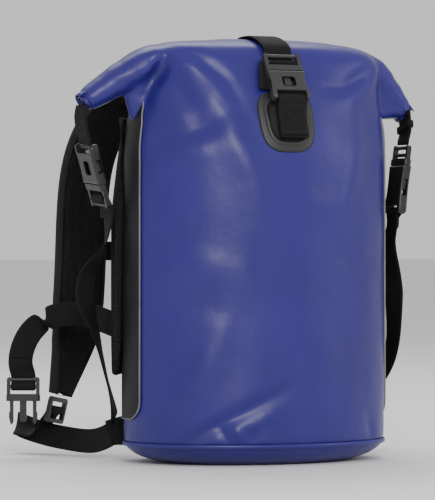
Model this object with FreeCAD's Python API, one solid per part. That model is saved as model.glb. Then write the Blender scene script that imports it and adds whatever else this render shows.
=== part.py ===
import FreeCAD, Part
import math
import os

# A roll-top dry backpack of about 15 litres, standing on its base.
# Millimetres, +Z up, front towards -Y, X to the right as seen from the front.
# The origin is the centre of the base, on the surface that the bag stands on.

os.makedirs("parts", exist_ok=True)
Vec = FreeCAD.Vector
X_AXIS = Vec(1, 0, 0)
Y_AXIS = Vec(0, 1, 0)
Z_AXIS = Vec(0, 0, 1)

# Bag body: an oval tube of coated fabric
HALF_WIDTH = 138.0
HALF_DEPTH = 94.0
WALL = 2.0
GAP = 0.3                 # clearance between pieces that lie on each other
RIM_Z = 19.0              # weld seam between base and wall
STRAIGHT_TOP_Z = 311.0    # the wall leans back above this height
MOUTH_Z = 388.0           # top edge of the wall, under the roll
FAR = 400.0               # longer than the bag, for cutting boxes

# Height, half width, front and back of the oval tube
WALL_LEVELS = [
    (RIM_Z, HALF_WIDTH, -HALF_DEPTH, HALF_DEPTH),
    (STRAIGHT_TOP_Z - 11, HALF_WIDTH, -HALF_DEPTH, HALF_DEPTH),
    (STRAIGHT_TOP_Z + 9, 137.0, -90.0, 92.0),
    (342.0, 134.5, -82.0, 84.0),
    (356.0, 130.0, -76.0, 76.0),
    (370.0, 121.5, -70.0, 66.0),
    (380.0, 112.0, -65.0, 56.0),
    (MOUTH_Z, 102.0, -59.0, 46.0),
]
# Height and share of the full radius, for the pillow-shaped base
BASE_LEVELS = [(0.0, 0.60), (2.0, 0.68), (6.0, 0.81), (12.0, 0.92), (15.5, 0.97), (RIM_Z - GAP, 1.0)]

# Webbing, pads and harness
WEB = 1.6                 # webbing thickness
WEB_WIDE = 30.0
WEB_SIDE = 25.0
WEB_CHEST = 20.0
PANEL = 1.6               # back panel fabric
PAD = 9.0                 # back pad thickness
STRAP_PAD = 10.0          # shoulder pad thickness
STRAP_PAD_WIDTH = 58.0
BAR_RADIUS = 2.0          # round bars that webbing loops over
STEPS = 3                 # sections of a strap between two points of its route


def box(low, high):
    """A box between two corners."""
    size = Vec(*high) - Vec(*low)
    return Part.makeBox(size.x, size.y, size.z, Vec(*low))


def rounded_box(low, high, axis, radius):
    """A box whose four edges along one axis are rounded."""
    solid = box(low, high)
    along = [e for e in solid.Edges if abs(e.tangentAt(e.FirstParameter).dot(axis)) > 0.99]
    return solid.makeFillet(radius, along)


def oval(half_width, front, back, height):
    """A level ellipse as a wire."""
    curve = Part.Ellipse(Vec(0, (front + back) / 2, height), half_width, (back - front) / 2)
    halves = [Part.ArcOfEllipse(curve, 0, math.pi), Part.ArcOfEllipse(curve, math.pi, 2 * math.pi)]
    return Part.Wire([half.toShape() for half in halves])


def bag_form(grow, overrun=0.0):
    """The solid form of the bag's wall, offset outward by grow and run on past both ends."""
    levels = list(WALL_LEVELS)
    if overrun:
        levels.insert(0, (RIM_Z - overrun,) + WALL_LEVELS[0][1:])
        levels.append((MOUTH_Z + overrun,) + WALL_LEVELS[-1][1:])
    wires = [oval(half + grow, front - grow, back + grow, z) for z, half, front, back in levels]
    return Part.makeLoft(wires, True, True)


def layer(inner, outer, cutter):
    """A sheet that follows the bag's wall between two offsets, cut to an outline."""
    return bag_form(outer).cut(bag_form(inner, 3.0)).common(cutter)


def turn(degrees):
    """A level direction, turned from +X towards +Y."""
    angle = math.radians(degrees)
    return Vec(math.cos(angle), math.sin(angle), 0)


def distances(points):
    """How far along its points each one lies."""
    along = [0.0]
    for before, after in zip(points, points[1:]):
        along.append(along[-1] + (after - before).Length)
    return along


def curve_through(points, along):
    """A smooth curve that reaches each point at its distance."""
    curve = Part.BSplineCurve()
    curve.interpolate(Points=points, Parameters=along)
    return curve


def ruled_face(first, second):
    """The face of straight lines between two curves that share their knots."""
    surface = Part.BSplineSurface()
    surface.buildFromPolesMultsKnots(
        [first.getPoles(), second.getPoles()], [2, 2], first.getMultiplicities(),
        [0.0, 1.0], first.getKnots(), False, False, 1, first.Degree)
    return surface.toShape()


def strap(points, across, widths, thickness=WEB):
    """Webbing or padding with a rectangular section that follows a smooth curve through its points."""
    centres = [Vec(*p) for p in points]
    count = len(centres)
    sides = across if isinstance(across, list) else [across] * count
    wide = widths if isinstance(widths, list) else [widths] * count
    along = distances(centres)
    route = curve_through(centres, along)
    stations = [(i, step / STEPS) for i in range(count - 1) for step in range(STEPS)] + [(count - 2, 1.0)]
    places = []
    corner_lines = [[], [], [], []]
    for first, share in stations:
        places.append(along[first] * (1 - share) + along[first + 1] * share)
        centre = route.value(places[-1])
        ahead = route.tangent(places[-1])[0]
        side = sides[first] * (1 - share) + sides[first + 1] * share
        side = side - ahead * side.dot(ahead)
        side.normalize()
        edge = side * ((wide[first] * (1 - share) + wide[first + 1] * share) / 2)
        normal = ahead.cross(side) * (thickness / 2)
        corners = [centre - edge - normal, centre + edge - normal, centre + edge + normal, centre - edge + normal]
        for line, corner in zip(corner_lines, corners):
            line.append(corner)
    curves = [curve_through(line, places) for line in corner_lines]
    faces = [ruled_face(curves[i], curves[(i + 1) % 4]) for i in range(4)]
    for end in (0, -1):
        rim = [line[end] for line in corner_lines]
        faces.append(Part.Face(Part.makePolygon(rim + rim[:1])))
    shell = Part.makeShell(faces)
    shell.sewShape()
    solid = Part.makeSolid(shell)
    if solid.Volume < 0:
        solid.reverse()
    return solid


def web_loop(centre, axis, strap_width):
    """A loop of webbing round a bar, a little narrower than its strap so that the two join well."""
    width = strap_width - 0.6
    start = centre - axis * (width / 2)
    inner = BAR_RADIUS + GAP
    return Part.makeCylinder(inner + WEB, width, start, axis).cut(Part.makeCylinder(inner, width, start, axis))


def mirrored(shape):
    """The other side's copy of a piece."""
    return shape.mirror(Vec(0, 0, 0), X_AXIS)


def save(name, shape):
    """Writes one sub-part."""
    shape.exportStep("parts/" + name + ".step")
    print(name, round(shape.Volume / 1000, 2), "cm3", "valid" if shape.isValid() else "INVALID")


# ---------------------------------------------------------------- bag body

save("body_shell", bag_form(0).cut(bag_form(-WALL, 3.0)))


def base_form(inset, lift):
    """The pillow-shaped base, inset sideways and lifted."""
    wires = []
    for z, share in BASE_LEVELS:
        half_x = HALF_WIDTH * share - inset
        half_y = HALF_DEPTH * share - inset
        wires.append(oval(half_x, -half_y, half_y, z + lift))
    return Part.makeLoft(wires, True, True)


save("base_panel", base_form(0, 0).cut(base_form(WALL, WALL)))


# Rolled top: centre of each section, direction of the roll, height and depth of the section
ROLL_SECTIONS = [
    ((-188, 2, 355), (-0.82, 0.02, -0.57), 22, 26),
    ((-172, 2, 366), (-0.82, 0.02, -0.57), 26, 32),
    ((-150, 0, 381), (-0.84, 0.02, -0.54), 28, 38),
    ((-129, -3, 396.5), (-0.88, 0.03, -0.46), 29, 48),
    ((-104, -8, 405.5), (-0.98, 0, -0.2), 31, 60),
    ((-60, -12, 407.8), (-1, 0, -0.02), 35, 74),
    ((0, -12, 408.5), (-1, 0, 0), 36, 76),
    ((60, -12, 408.0), (-1, 0, 0.02), 35, 74),
    ((100, -8, 405.5), (-0.98, 0, 0.2), 31, 60),
    ((126, -3, 396), (-0.78, 0, 0.62), 27, 46),
    ((142, 0, 378), (-0.66, 0, 0.75), 26, 38),
    ((155, 0, 363), (-0.64, 0, 0.77), 25, 32),
    ((164, 0, 352), (-0.64, 0, 0.77), 22, 28),
]
STIFFENER_SIZE = (200.0, 22.0, 1.2)
STIFFENER_CENTRE = Vec(0, -12, 408)


def roll_wire(centre, direction, height, depth):
    """One section of the roll: an ellipse square to the roll's direction."""
    along = Vec(*direction).normalize()
    deep = Y_AXIS - along * Y_AXIS.dot(along)
    deep.normalize()
    middle = Vec(*centre)
    rise = along.cross(deep)
    ellipse = Part.Ellipse(middle + deep * (depth / 2), middle + rise * (height / 2), middle)
    return Part.Wire(ellipse.toShape())


roll = Part.makeLoft([roll_wire(*section) for section in ROLL_SECTIONS], True, True)


def stiffener_box(grow):
    """The strip in the roll, grown on all sides."""
    half = Vec(*STIFFENER_SIZE) * 0.5 + Vec(grow, grow, grow)
    return box(STIFFENER_CENTRE - half, STIFFENER_CENTRE + half)


save("roll_closure", roll.cut(stiffener_box(GAP)))
save("mouth_stiffener", stiffener_box(0))

# ---------------------------------------------------------------- back

PANEL_FRONT_Y = -25.0
PANEL_FOOT_Z = 45.0
panel_outer = GAP + PANEL
panel_cut = rounded_box((-FAR, PANEL_FRONT_Y, PANEL_FOOT_Z), (FAR, FAR, FAR + 60), X_AXIS, 18)
save("back_panel", layer(GAP, panel_outer, panel_cut))

pad_inner = panel_outer + GAP
pad_outer = pad_inner + PAD
pad_cut = rounded_box((-FAR, 8, 85), (FAR, FAR, 350), X_AXIS, 25)
save("back_pad", layer(pad_inner, pad_outer, pad_cut))

YOKE_HALF = 96.0
yoke_cut = rounded_box((-YOKE_HALF, 10, 353), (YOKE_HALF, FAR, 378), Y_AXIS, 8)
save("shoulder_yoke", layer(pad_inner, pad_inner + 7, yoke_cut))

HAUL_Y = 91.0
HAUL_HALF = 19.0
HAUL_POINTS = [(-HAUL_HALF, HAUL_Y, 370), (-HAUL_HALF, HAUL_Y, 385), (-HAUL_HALF, HAUL_Y, 401),
               (-14, HAUL_Y, 412), (0, HAUL_Y, 416), (14, HAUL_Y, 412),
               (HAUL_HALF, HAUL_Y, 401), (HAUL_HALF, HAUL_Y, 385), (HAUL_HALF, HAUL_Y, 370)]
save("haul_loop", strap(HAUL_POINTS, Y_AXIS, 22, 2.2))

# ---------------------------------------------------------------- front patch

PATCH_HALF = 31.0
PATCH_Z = (311.0, 371.0)
patch_cut = rounded_box((-PATCH_HALF, -FAR, PATCH_Z[0]), (PATCH_HALF, 0, PATCH_Z[1]), Y_AXIS, 11)
plate = layer(GAP, 2.8, patch_cut)
ring_outer = rounded_box((-PATCH_HALF + 6, -FAR, 318), (PATCH_HALF - 6, 0, 364), Y_AXIS, 9)
ring_inner = rounded_box((-PATCH_HALF + 10, -FAR, 322), (PATCH_HALF - 10, 0, 360), Y_AXIS, 6)
save("lash_patch", plate.fuse(layer(2.6, 4.2, ring_outer.cut(ring_inner))).removeSplitter())

# ---------------------------------------------------------------- side-release buckles
# Buckle axes: X across, Y towards the pull of the male half, Z outward.
# The mouth of the female half is at the origin.

THICK = 10.0              # female half
FRAME_THICK = 4.6         # ladder frame of the male half
RAIL = 3.6                # side rails beside the webbing
TAIL_SLOT = 8.5           # opening at the webbing end of each half
INNER_BAR = 10.0          # distance of a ladder frame's two bars from its end
END_BAR = 2.6


def rounded_plate(outline, thickness, radius):
    """A plate with its outline's top and bottom edges rounded."""
    face = Part.Face(Part.Wire(outline))
    plate_solid = face.extrude(Vec(0, 0, thickness))
    plate_solid.translate(Vec(0, 0, -thickness / 2))
    rims = [e for e in plate_solid.Edges if abs(abs(e.CenterOfMass.z) - thickness / 2) < 0.01]
    return plate_solid.makeFillet(radius, rims)


def bar(width, y):
    """A round bar across the buckle."""
    return Part.makeCylinder(BAR_RADIUS, width, Vec(-width / 2, y, 0), X_AXIS)


def side_outline(half_mouth, half_waist, half_tail, waist_y, tail_y):
    """The waisted outline of the female half."""
    corner = 4.0
    left = [Vec(-half_mouth, 0, 0), Vec(-half_mouth, -3, 0), Vec(-half_waist, waist_y, 0),
            Vec(-half_tail, tail_y + corner + 3, 0), Vec(-half_tail, tail_y + corner, 0),
            Vec(-half_tail + corner, tail_y, 0)]
    right = [Vec(-p.x, p.y, 0) for p in left]
    lean = corner * (1 - math.sqrt(0.5))
    left_corner = Vec(-half_tail + lean, tail_y + lean, 0)
    return [
        Part.LineSegment(right[0], left[0]).toShape(),
        Part.LineSegment(left[0], left[1]).toShape(),
        Part.Arc(left[1], left[2], left[3]).toShape(),
        Part.LineSegment(left[3], left[4]).toShape(),
        Part.Arc(left[4], left_corner, left[5]).toShape(),
        Part.LineSegment(left[5], right[5]).toShape(),
        Part.Arc(right[5], Vec(-left_corner.x, left_corner.y, 0), right[4]).toShape(),
        Part.LineSegment(right[4], right[3]).toShape(),
        Part.Arc(right[3], right[2], right[1]).toShape(),
        Part.LineSegment(right[1], right[0]).toShape(),
    ]


def female_half(web, length):
    """The socket: a waisted shell with side windows, a thumb window and a webbing bar."""
    cavity = web / 2 + 2.4
    outline = side_outline(web / 2 + 5, web / 2 + 4, web / 2 + 5.6, -length * 0.45, -length)
    shell = rounded_plate(outline, THICK, 2.6)
    shell = shell.cut(box((-cavity, -length + TAIL_SLOT + 3, -3), (cavity, 1, 3)))
    shell = shell.cut(box((-web, -length * 0.62, -2.6), (web, -length * 0.28, 2.6)))
    window = rounded_box((-web * 0.24, -length * 0.60, 0), (web * 0.24, -length * 0.24, THICK), Z_AXIS, 3)
    shell = shell.cut(window)
    shell = shell.cut(box((-web / 2 - 0.8, -length - 1, -THICK), (web / 2 + 0.8, -length + TAIL_SLOT, THICK)))
    return shell.fuse(bar(web + 5, -length + BAR_RADIUS + 1)).removeSplitter()


def pivot(web):
    """Where a prong turns in the male half's collar."""
    return Vec(web / 2 - 0.6, 0.6, 0)


def male_half(web, length, reach):
    """The plug: a collar, a middle tongue and a ladder frame for the webbing."""
    half = web / 2 + 5
    collar = rounded_box((-half, GAP, -4.2), (half, 6.5, 4.2), Y_AXIS, 3)
    frame_half = web / 2 + 0.8 + RAIL
    frame = rounded_box((-frame_half, 4, -FRAME_THICK / 2), (frame_half, length, FRAME_THICK / 2), Z_AXIS, 3)
    frame = frame.cut(box((-web / 2 - 0.8, 7.5, -THICK), (web / 2 + 0.8, length + 1, THICK)))
    tongue = rounded_box((-3.5, -reach + 3, -1.8), (3.5, 2, 1.8), Z_AXIS, 2)
    solid = collar.fuse([frame, tongue, bar(web + 4, length - END_BAR), bar(web + 4, length - INNER_BAR)])
    for side in (-1, 1):
        centre = pivot(web)
        pocket_base = Vec(side * centre.x, centre.y, -2.4)
        solid = solid.cut(Part.makeCylinder(2.25, 4.8, pocket_base, Z_AXIS))
        solid = solid.cut(box((side * centre.x - 2.6, -3, -2.4), (side * centre.x + 2.6, centre.y, 2.4)))
    return solid.removeSplitter()


def prong(web, reach, side):
    """One spring arm of the plug, with its barb, drawn for the +X side."""
    centre = pivot(web)
    wide = web / 2 + 2.1
    root = Part.makeCylinder(2.2, 4.2, centre - Z_AXIS * 2.1, Z_AXIS)
    outline = [(centre.x - 1.9, 0.4), (centre.x - 1.9, -reach + 3), (centre.x - 0.4, -reach),
               (centre.x + 1.2, -reach + 1), (wide, -reach * 0.72), (wide, -reach * 0.5),
               (centre.x + 1.7, -reach * 0.42), (centre.x + 1.9, 0.4)]
    corners = [Vec(x, y, -2.1) for x, y in outline]
    arm = Part.Face(Part.makePolygon(corners + corners[:1])).extrude(Z_AXIS * 4.2)
    solid = root.fuse(arm).removeSplitter()
    return solid if side > 0 else mirrored(solid)


def place(shape, origin, across, along):
    """Moves a shape from buckle axes to the bag."""
    moved = shape.copy()
    along = Vec(*along).normalize()
    side = across - along * across.dot(along)
    side.normalize()
    rotation = FreeCAD.Rotation(side, along, side.cross(along), "YXZ")
    moved.Placement = FreeCAD.Placement(Vec(*origin), rotation)
    return moved


def spot(point, origin, across, along):
    """A point given in buckle axes, on the bag."""
    return place(Part.Vertex(*point), origin, across, along).Point


# name: webbing, female length, male length, reach of the prongs, mouth, across, pull of the male
BUCKLES = {
    "front": (WEB_WIDE, 33, 22, 20, (2.5, -71, 391), X_AXIS, (0, 0.528, 0.849)),
    "left": (WEB_SIDE, 41, 25, 26, (-168, 11.5, 281), Vec(-0.12, 0.99, 0), (0.304, 0.137, -0.943)),
    "right": (WEB_SIDE, 50, 21, 26, (157, -15, 301), Y_AXIS, (0.13, 0, 0.991)),
    "sternum": (WEB_CHEST, 32, 23, 18, (-4, 164, 213), Z_AXIS, (1, 0, 0)),
    "waist_left": (WEB_SIDE, 0, 25, 24, (-207, 124, 58), Vec(0.927, -0.375, 0), (0, 0, 1)),
    "waist_right": (WEB_SIDE, 40, 0, 0, (141, 119, 52), X_AXIS, (0, 0, -1)),
}
PRONG_SIDES = {"left": -1, "right": 1}

for name, (web, female, male, reach, mouth, across, pull) in BUCKLES.items():
    if female:
        save(name + "_buckle_female", place(female_half(web, female), mouth, across, pull))
    if male:
        save(name + "_buckle_male", place(male_half(web, male, reach), mouth, across, pull))
        for side_name, side in PRONG_SIDES.items():
            save(name + "_prong_" + side_name, place(prong(web, reach, side), mouth, across, pull))


def female_bar(name):
    """The middle of a female half's webbing bar, on the bag."""
    web, female, _, _, mouth, across, pull = BUCKLES[name]
    return spot((0, -female + BAR_RADIUS + 1, 0), mouth, across, pull)


def male_bar(name, from_end=INNER_BAR):
    """The middle of a male half's inner bar, or of the bar at that distance from its end."""
    web, _, male, _, mouth, across, pull = BUCKLES[name]
    return spot((0, male - from_end, 0), mouth, across, pull)


def side_of(name):
    """The across direction of a buckle, square to its pull."""
    across, pull = BUCKLES[name][5], Vec(*BUCKLES[name][6]).normalize()
    side = across - pull * across.dot(pull)
    return side.normalize()


def out_of(name):
    """The outward direction of a buckle."""
    return side_of(name).cross(Vec(*BUCKLES[name][6]).normalize())


def looped_strap(name, centre, points, across, width):
    """Webbing with a loop round a buckle's bar at its first point."""
    loop = web_loop(centre, side_of(name), width)
    return loop.fuse(strap(points, across, width)).removeSplitter()


# A strap leaves its loop a little outside the loop's own wall, so that the two join well
LOOP_MIDDLE = BAR_RADIUS + GAP + WEB / 2 + 0.25


def behind_ladder(name):
    """The first two points of a strap that leaves a ladder frame along its inner side."""
    first = male_bar(name) - out_of(name) * LOOP_MIDDLE
    pull = Vec(*BUCKLES[name][6]).normalize()
    return [first, first + pull * 10 - out_of(name) * 2.6]


# ---------------------------------------------------------------- front strap

front_bar = female_bar("front")
tab_start = front_bar - out_of("front") * LOOP_MIDDLE
tab_points = [tab_start, (2.5, -87.5, 354), (2.5, -89.7, 344), (2.5, -93.5, 332), (2.5, -95.3, 326)]
save("front_buckle_tab", looped_strap("front", front_bar, tab_points, X_AXIS, WEB_WIDE))

top_points = behind_ladder("front") + [
    (2.2, -51.5, 415.5), (1, -42, 422.5), (-0.5, -28, 427), (-2, -8, 429.2), (-2, 8, 427.6), (-2, 22, 420.3),
    (-2, 34, 409.5), (-2, 48, 398), (-2, 64, 385), (-2, 79, 371)]
save("top_strap", looped_strap("front", male_bar("front"), top_points, X_AXIS, WEB_WIDE))

tail_across = Vec(0.97, -0.10, -0.18)
tail_points = [(-6, -59.8, 395), (-8, -63.3, 389), (-10, -67.6, 382), (-12, -72.4, 374)]
save("top_strap_tail", strap(tail_points, tail_across, WEB_WIDE))

# ---------------------------------------------------------------- side straps

left_bar = female_bar("left")
left_pull = Vec(*BUCKLES["left"][6]).normalize()
left_tab = [left_bar - left_pull * LOOP_MIDDLE, (-183, 4.5, 328), (-187, 3, 337), (-190.5, 2, 342)]
save("left_side_tab", looped_strap("left", left_bar, left_tab, side_of("left"), WEB_SIDE))

left_points = behind_ladder("left") + [
    (-152.5, 19, 238), (-154, 21, 222), (-163, 24, 204), (-172, 26, 184), (-172, 28, 162),
    (-164, 30, 140), (-154, 35, 110), (-144, 41, 78), (-136, 50, 56), (-131, 59, 41)]
left_turns = [97, 94, 86, 72, 44, 17, 20, 48, 62, 68, 62, 55]
save("left_lower_strap", looped_strap("left", male_bar("left"), left_points,
                                      [turn(a) for a in left_turns], WEB_SIDE))

right_ladder = male_bar("right", END_BAR)
right_pull = Vec(*BUCKLES["right"][6]).normalize()
right_tab = [right_ladder + right_pull * LOOP_MIDDLE, right_ladder + right_pull * 7, (161.5, -14.4, 335), (163, -13, 342)]
save("right_side_tab", looped_strap("right", right_ladder, right_tab, Y_AXIS, WEB_SIDE))

right_bar = female_bar("right")
right_points = [right_bar - right_pull * LOOP_MIDDLE, right_bar - right_pull * 9, (145, -14, 225), (148, -13, 200),
                (151, -12, 172), (152, -10, 145), (153, -3, 115), (150.5, 16, 86), (142, 38, 62), (131, 59, 41)]
right_turns = [90, 90, 92, 100, 112, 104, 95, 92, 110, 125]
save("right_lower_strap", looped_strap("right", right_bar, right_points,
                                       [turn(a) for a in right_turns], WEB_SIDE))

# ---------------------------------------------------------------- shoulder straps

PAD_POINTS = [(-60, 84, 368), (-70, 102, 379), (-91, 125, 373), (-112, 140, 347), (-127, 148, 307),
              (-132, 150.8, 270), (-135, 150, 215), (-138, 149.2, 160), (-142, 153, 117), (-148.5, 156.3, 88),
              (-155, 158, 62)]
PAD_TURNS = [0, 4, 10, 15, 15, 15, 15, 15, 20, 30, 40]
PAD_WIDTHS = [STRAP_PAD_WIDTH] * 8 + [52.0, 42.0, 32.0]
left_pad = strap(PAD_POINTS, [turn(a) for a in PAD_TURNS], PAD_WIDTHS, STRAP_PAD)
save("left_shoulder_pad", left_pad)
save("right_shoulder_pad", mirrored(left_pad))

RAIL_WEB = 12.0
RAIL_STAND = 5.0          # the rail's middle stands this far off the pad
RAIL_END = 1.3            # and this far at its sewn ends
PAD_ACROSS = turn(15)
PAD_OUT = Vec(-PAD_ACROSS.y, PAD_ACROSS.x, 0)
rail_foot = Vec(-135, 150, 0) + PAD_ACROSS * 9 + PAD_OUT * (STRAP_PAD / 2)
RAIL_RAMP = (RAIL_STAND + RAIL_END) / 2
RAIL_ROUTE = [(270, RAIL_END), (263.5, RAIL_RAMP), (257, RAIL_STAND), (249, RAIL_STAND), (231, RAIL_STAND),
              (213, RAIL_STAND), (195, RAIL_STAND), (177, RAIL_STAND), (169, RAIL_STAND), (162.5, RAIL_RAMP),
              (156, RAIL_END)]
rail_points = [rail_foot + PAD_OUT * stand + Z_AXIS * z for z, stand in RAIL_ROUTE]
left_rail = strap(rail_points, PAD_ACROSS, RAIL_WEB)
save("left_sternum_rail", left_rail)
save("right_sternum_rail", mirrored(left_rail))

CHEST_Z = BUCKLES["sternum"][4][2]
CHEST_Y = BUCKLES["sternum"][4][1]
SLIDER_HEIGHT = 24.0
rail_middle = rail_foot + PAD_OUT * RAIL_STAND
clip = rounded_box((-9.5, -3.2, -SLIDER_HEIGHT / 2), (9.5, 3.2, SLIDER_HEIGHT / 2), Z_AXIS, 1.8)
clip = clip.cut(box((-RAIL_WEB / 2 - GAP, -WEB / 2 - GAP, -FAR), (RAIL_WEB / 2 + GAP, WEB / 2 + GAP, FAR)))
clip.Placement = FreeCAD.Placement(rail_middle + Z_AXIS * CHEST_Z, FreeCAD.Rotation(Z_AXIS, 15))
slider_side = rail_middle + PAD_ACROSS * 14 + Z_AXIS * CHEST_Z
eye = Part.makeCylinder(BAR_RADIUS, SLIDER_HEIGHT + 2, slider_side - Z_AXIS * (SLIDER_HEIGHT / 2 + 1), Z_AXIS)
arms = []
for end in (-1, 1):
    arm_z = CHEST_Z + end * (SLIDER_HEIGHT / 2)
    reach_out = [rail_middle + PAD_ACROSS * 8.5, slider_side - Z_AXIS * CHEST_Z]
    arms.append(strap([p + Z_AXIS * arm_z for p in reach_out], PAD_OUT, 4, 2.4))
left_slider = clip.fuse([eye] + arms).removeSplitter()
save("left_sternum_slider", left_slider)
save("right_sternum_slider", mirrored(left_slider))

chest_start = slider_side + PAD_ACROSS * LOOP_MIDDLE
chest_bar = female_bar("sternum")
chest_left = [chest_start, (-98, CHEST_Y + 4.5, CHEST_Z), (-80, CHEST_Y + 3, CHEST_Z), (-56, CHEST_Y, CHEST_Z),
              chest_bar - X_AXIS * LOOP_MIDDLE]
left_web = strap(chest_left, Z_AXIS, WEB_CHEST).fuse(
    [web_loop(chest_bar, Z_AXIS, WEB_CHEST), web_loop(slider_side, Z_AXIS, WEB_CHEST)]).removeSplitter()
save("sternum_webbing_left", left_web)
chest_ladder = male_bar("sternum")
right_eye = Vec(-slider_side.x, slider_side.y, slider_side.z)
chest_right = behind_ladder("sternum") + [
    (45, CHEST_Y - 3.5, CHEST_Z), (72, CHEST_Y + 1.5, CHEST_Z), (98, CHEST_Y + 4.5, CHEST_Z),
    (-chest_start.x, chest_start.y, CHEST_Z)]
right_web = strap(chest_right, Z_AXIS, WEB_CHEST).fuse(
    [web_loop(chest_ladder, Z_AXIS, WEB_CHEST), web_loop(right_eye, Z_AXIS, WEB_CHEST)]).removeSplitter()
save("sternum_webbing_right", right_web)

# ---------------------------------------------------------------- ladder locks and lower webbing

LOCK_LENGTH = 27.0


def ladder_lock(web):
    """A three-bar adjuster in buckle axes, from its sewn bar to its lifting lip."""
    half = web / 2 + 0.8 + RAIL
    frame = rounded_box((-half, 0, -FRAME_THICK / 2), (half, LOCK_LENGTH, FRAME_THICK / 2), Z_AXIS, 4)
    frame = frame.cut(box((-web / 2 - 0.8, 5, -THICK), (web / 2 + 0.8, LOCK_LENGTH - 4, THICK)))
    return frame.fuse([bar(web + 4, 13), bar(web + 4, LOCK_LENGTH - 2.5)]).removeSplitter()


LOCK_ORIGIN = (-156.4, 158.2, 59.4)
LOCK_PULL = Vec(-0.22, 0.03, -0.975)
lock = place(ladder_lock(WEB_SIDE), LOCK_ORIGIN, turn(40), LOCK_PULL)
save("left_ladder_lock", lock)
save("right_ladder_lock", mirrored(lock))

ANCHOR_ROUTE = [(-107.5, 62, 30), (-118, 66, 29), (-128.5, 72, 27)]
anchor = strap(ANCHOR_ROUTE, Z_AXIS, [34.0, 30.0, 27.0], 2.2)
save("left_harness_anchor", anchor)
save("right_harness_anchor", mirrored(anchor))

lock_bar = spot((0, 13, 0), LOCK_ORIGIN, turn(40), LOCK_PULL)
lock_pull = Vec(LOCK_PULL).normalize()
lock_side = turn(40) - lock_pull * turn(40).dot(lock_pull)
lock_side.normalize()
lock_out = lock_side.cross(lock_pull)
lock_loop = web_loop(lock_bar, lock_side, WEB_SIDE)
lock_last = lock_bar + lock_out * LOOP_MIDDLE
lock_next = lock_last + lock_pull * 13 + lock_out * 5.5
low_left = [(-129.5, 73, 25), (-134, 92, 19), (-140, 125, 15.5), (-151, 158, 17), (-166, 184, 21),
            (-181, 197, 27), (-191, 193, 31), (-189, 181, 29), (-181, 173, 24), lock_next, lock_last]
low_across = [Z_AXIS] * 5 + [Vec(0.05, 0.05, 1), Vec(0.2, 0.2, 0.95), Vec(0.5, 0.4, 0.7), Vec(0.7, 0.6, 0.35),
                             lock_side, lock_side]
save("left_lower_webbing", strap(low_left, low_across, WEB_SIDE).fuse(lock_loop).removeSplitter())


def across_bag(vector):
    """The same place or direction on the bag's other side."""
    return Vec(-vector[0], vector[1], vector[2])


low_right = [(129.5, 73, 25), (135, 92, 19), (144, 120, 16), (155, 143, 17), (164, 158, 20),
             across_bag(lock_next), across_bag(lock_last)]
right_side = across_bag(lock_side)
low_right_across = [Z_AXIS, Z_AXIS, Vec(-0.1, 0, 1), Vec(-0.3, 0.2, 0.8), Vec(-0.6, 0.5, 0.4), right_side, right_side]
save("right_lower_webbing", strap(low_right, low_right_across, WEB_SIDE).fuse(mirrored(lock_loop)).removeSplitter())

# ---------------------------------------------------------------- waist belt

waist_side = side_of("waist_left")
waist_left = [(-125.5, 63, 136), (-135, 73, 141), (-150, 86, 147), (-170, 99, 148), (-188, 110, 142),
              (-201, 120, 128), (-207.5, 126.5, 110), (-208, 128.5, 94)] + behind_ladder("waist_left")[::-1]
waist_across = [Z_AXIS, Vec(0.1, -0.1, 1), Vec(0.3, -0.25, 0.9), Vec(0.55, -0.4, 0.7), Vec(0.75, -0.4, 0.45),
                Vec(0.9, -0.38, 0.15)] + [waist_side] * 4
save("waist_webbing_left", looped_strap("waist_left", male_bar("waist_left"), waist_left, waist_across, WEB_SIDE))

right_waist_bar = female_bar("waist_right")
waist_right = [(125.5, 63, 136), (134, 76, 138.5), (142, 92, 139), (146.5, 106, 133), (145, 115, 121),
               (142.3, 118.6, 108), (141, 119, 98), right_waist_bar + Vec(0, 0, LOOP_MIDDLE)]
waist_right_across = [Z_AXIS, Vec(-0.1, 0.05, 1), Vec(-0.4, 0, 0.8), Vec(-0.8, 0, 0.5), Vec(-1, 0, 0.15)] + [-X_AXIS] * 3
save("waist_webbing_right", looped_strap("waist_right", right_waist_bar, waist_right, waist_right_across, WEB_SIDE))
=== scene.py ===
# %% [markdown]
# # A roll-top dry backpack
# A dry bag is a tube of coated fabric whose mouth is rolled up and buckled down, so that no water gets in.
# This one is worn as a backpack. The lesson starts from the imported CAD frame, which fixes every size and joint,
# and gives each soft piece its own mesh and each finish its own nodes.

# %% Load the frame
import math

import bmesh
import bpy
import numpy as np
from mathutils import Matrix, Vector, noise


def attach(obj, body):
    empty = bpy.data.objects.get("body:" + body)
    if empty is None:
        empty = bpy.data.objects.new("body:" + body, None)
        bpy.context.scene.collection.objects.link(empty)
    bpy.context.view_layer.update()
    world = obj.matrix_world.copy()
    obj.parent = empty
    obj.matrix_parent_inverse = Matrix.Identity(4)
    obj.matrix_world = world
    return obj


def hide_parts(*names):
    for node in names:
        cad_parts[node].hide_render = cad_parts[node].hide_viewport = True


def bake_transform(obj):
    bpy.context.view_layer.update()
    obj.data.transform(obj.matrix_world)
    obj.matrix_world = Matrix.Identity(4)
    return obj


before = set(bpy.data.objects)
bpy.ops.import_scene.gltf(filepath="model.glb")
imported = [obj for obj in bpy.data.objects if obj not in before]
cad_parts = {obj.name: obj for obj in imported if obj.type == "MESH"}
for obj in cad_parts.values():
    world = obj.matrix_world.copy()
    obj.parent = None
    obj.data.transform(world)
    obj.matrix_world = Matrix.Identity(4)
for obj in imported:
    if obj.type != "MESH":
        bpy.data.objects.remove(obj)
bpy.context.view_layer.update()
MM = 0.001

# %% [markdown]
# ## Finishes
# The bag has seven main finishes: glossy coated fabric, the same fabric in black, woven webbing, spacer mesh, soft
# moulded rubber, moulded buckle plastic and sewing thread. Each could be one flat colour, but then the bag would
# look like a toy. Nodes give each its own grain, so they work at any distance and need no picture files.

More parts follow.
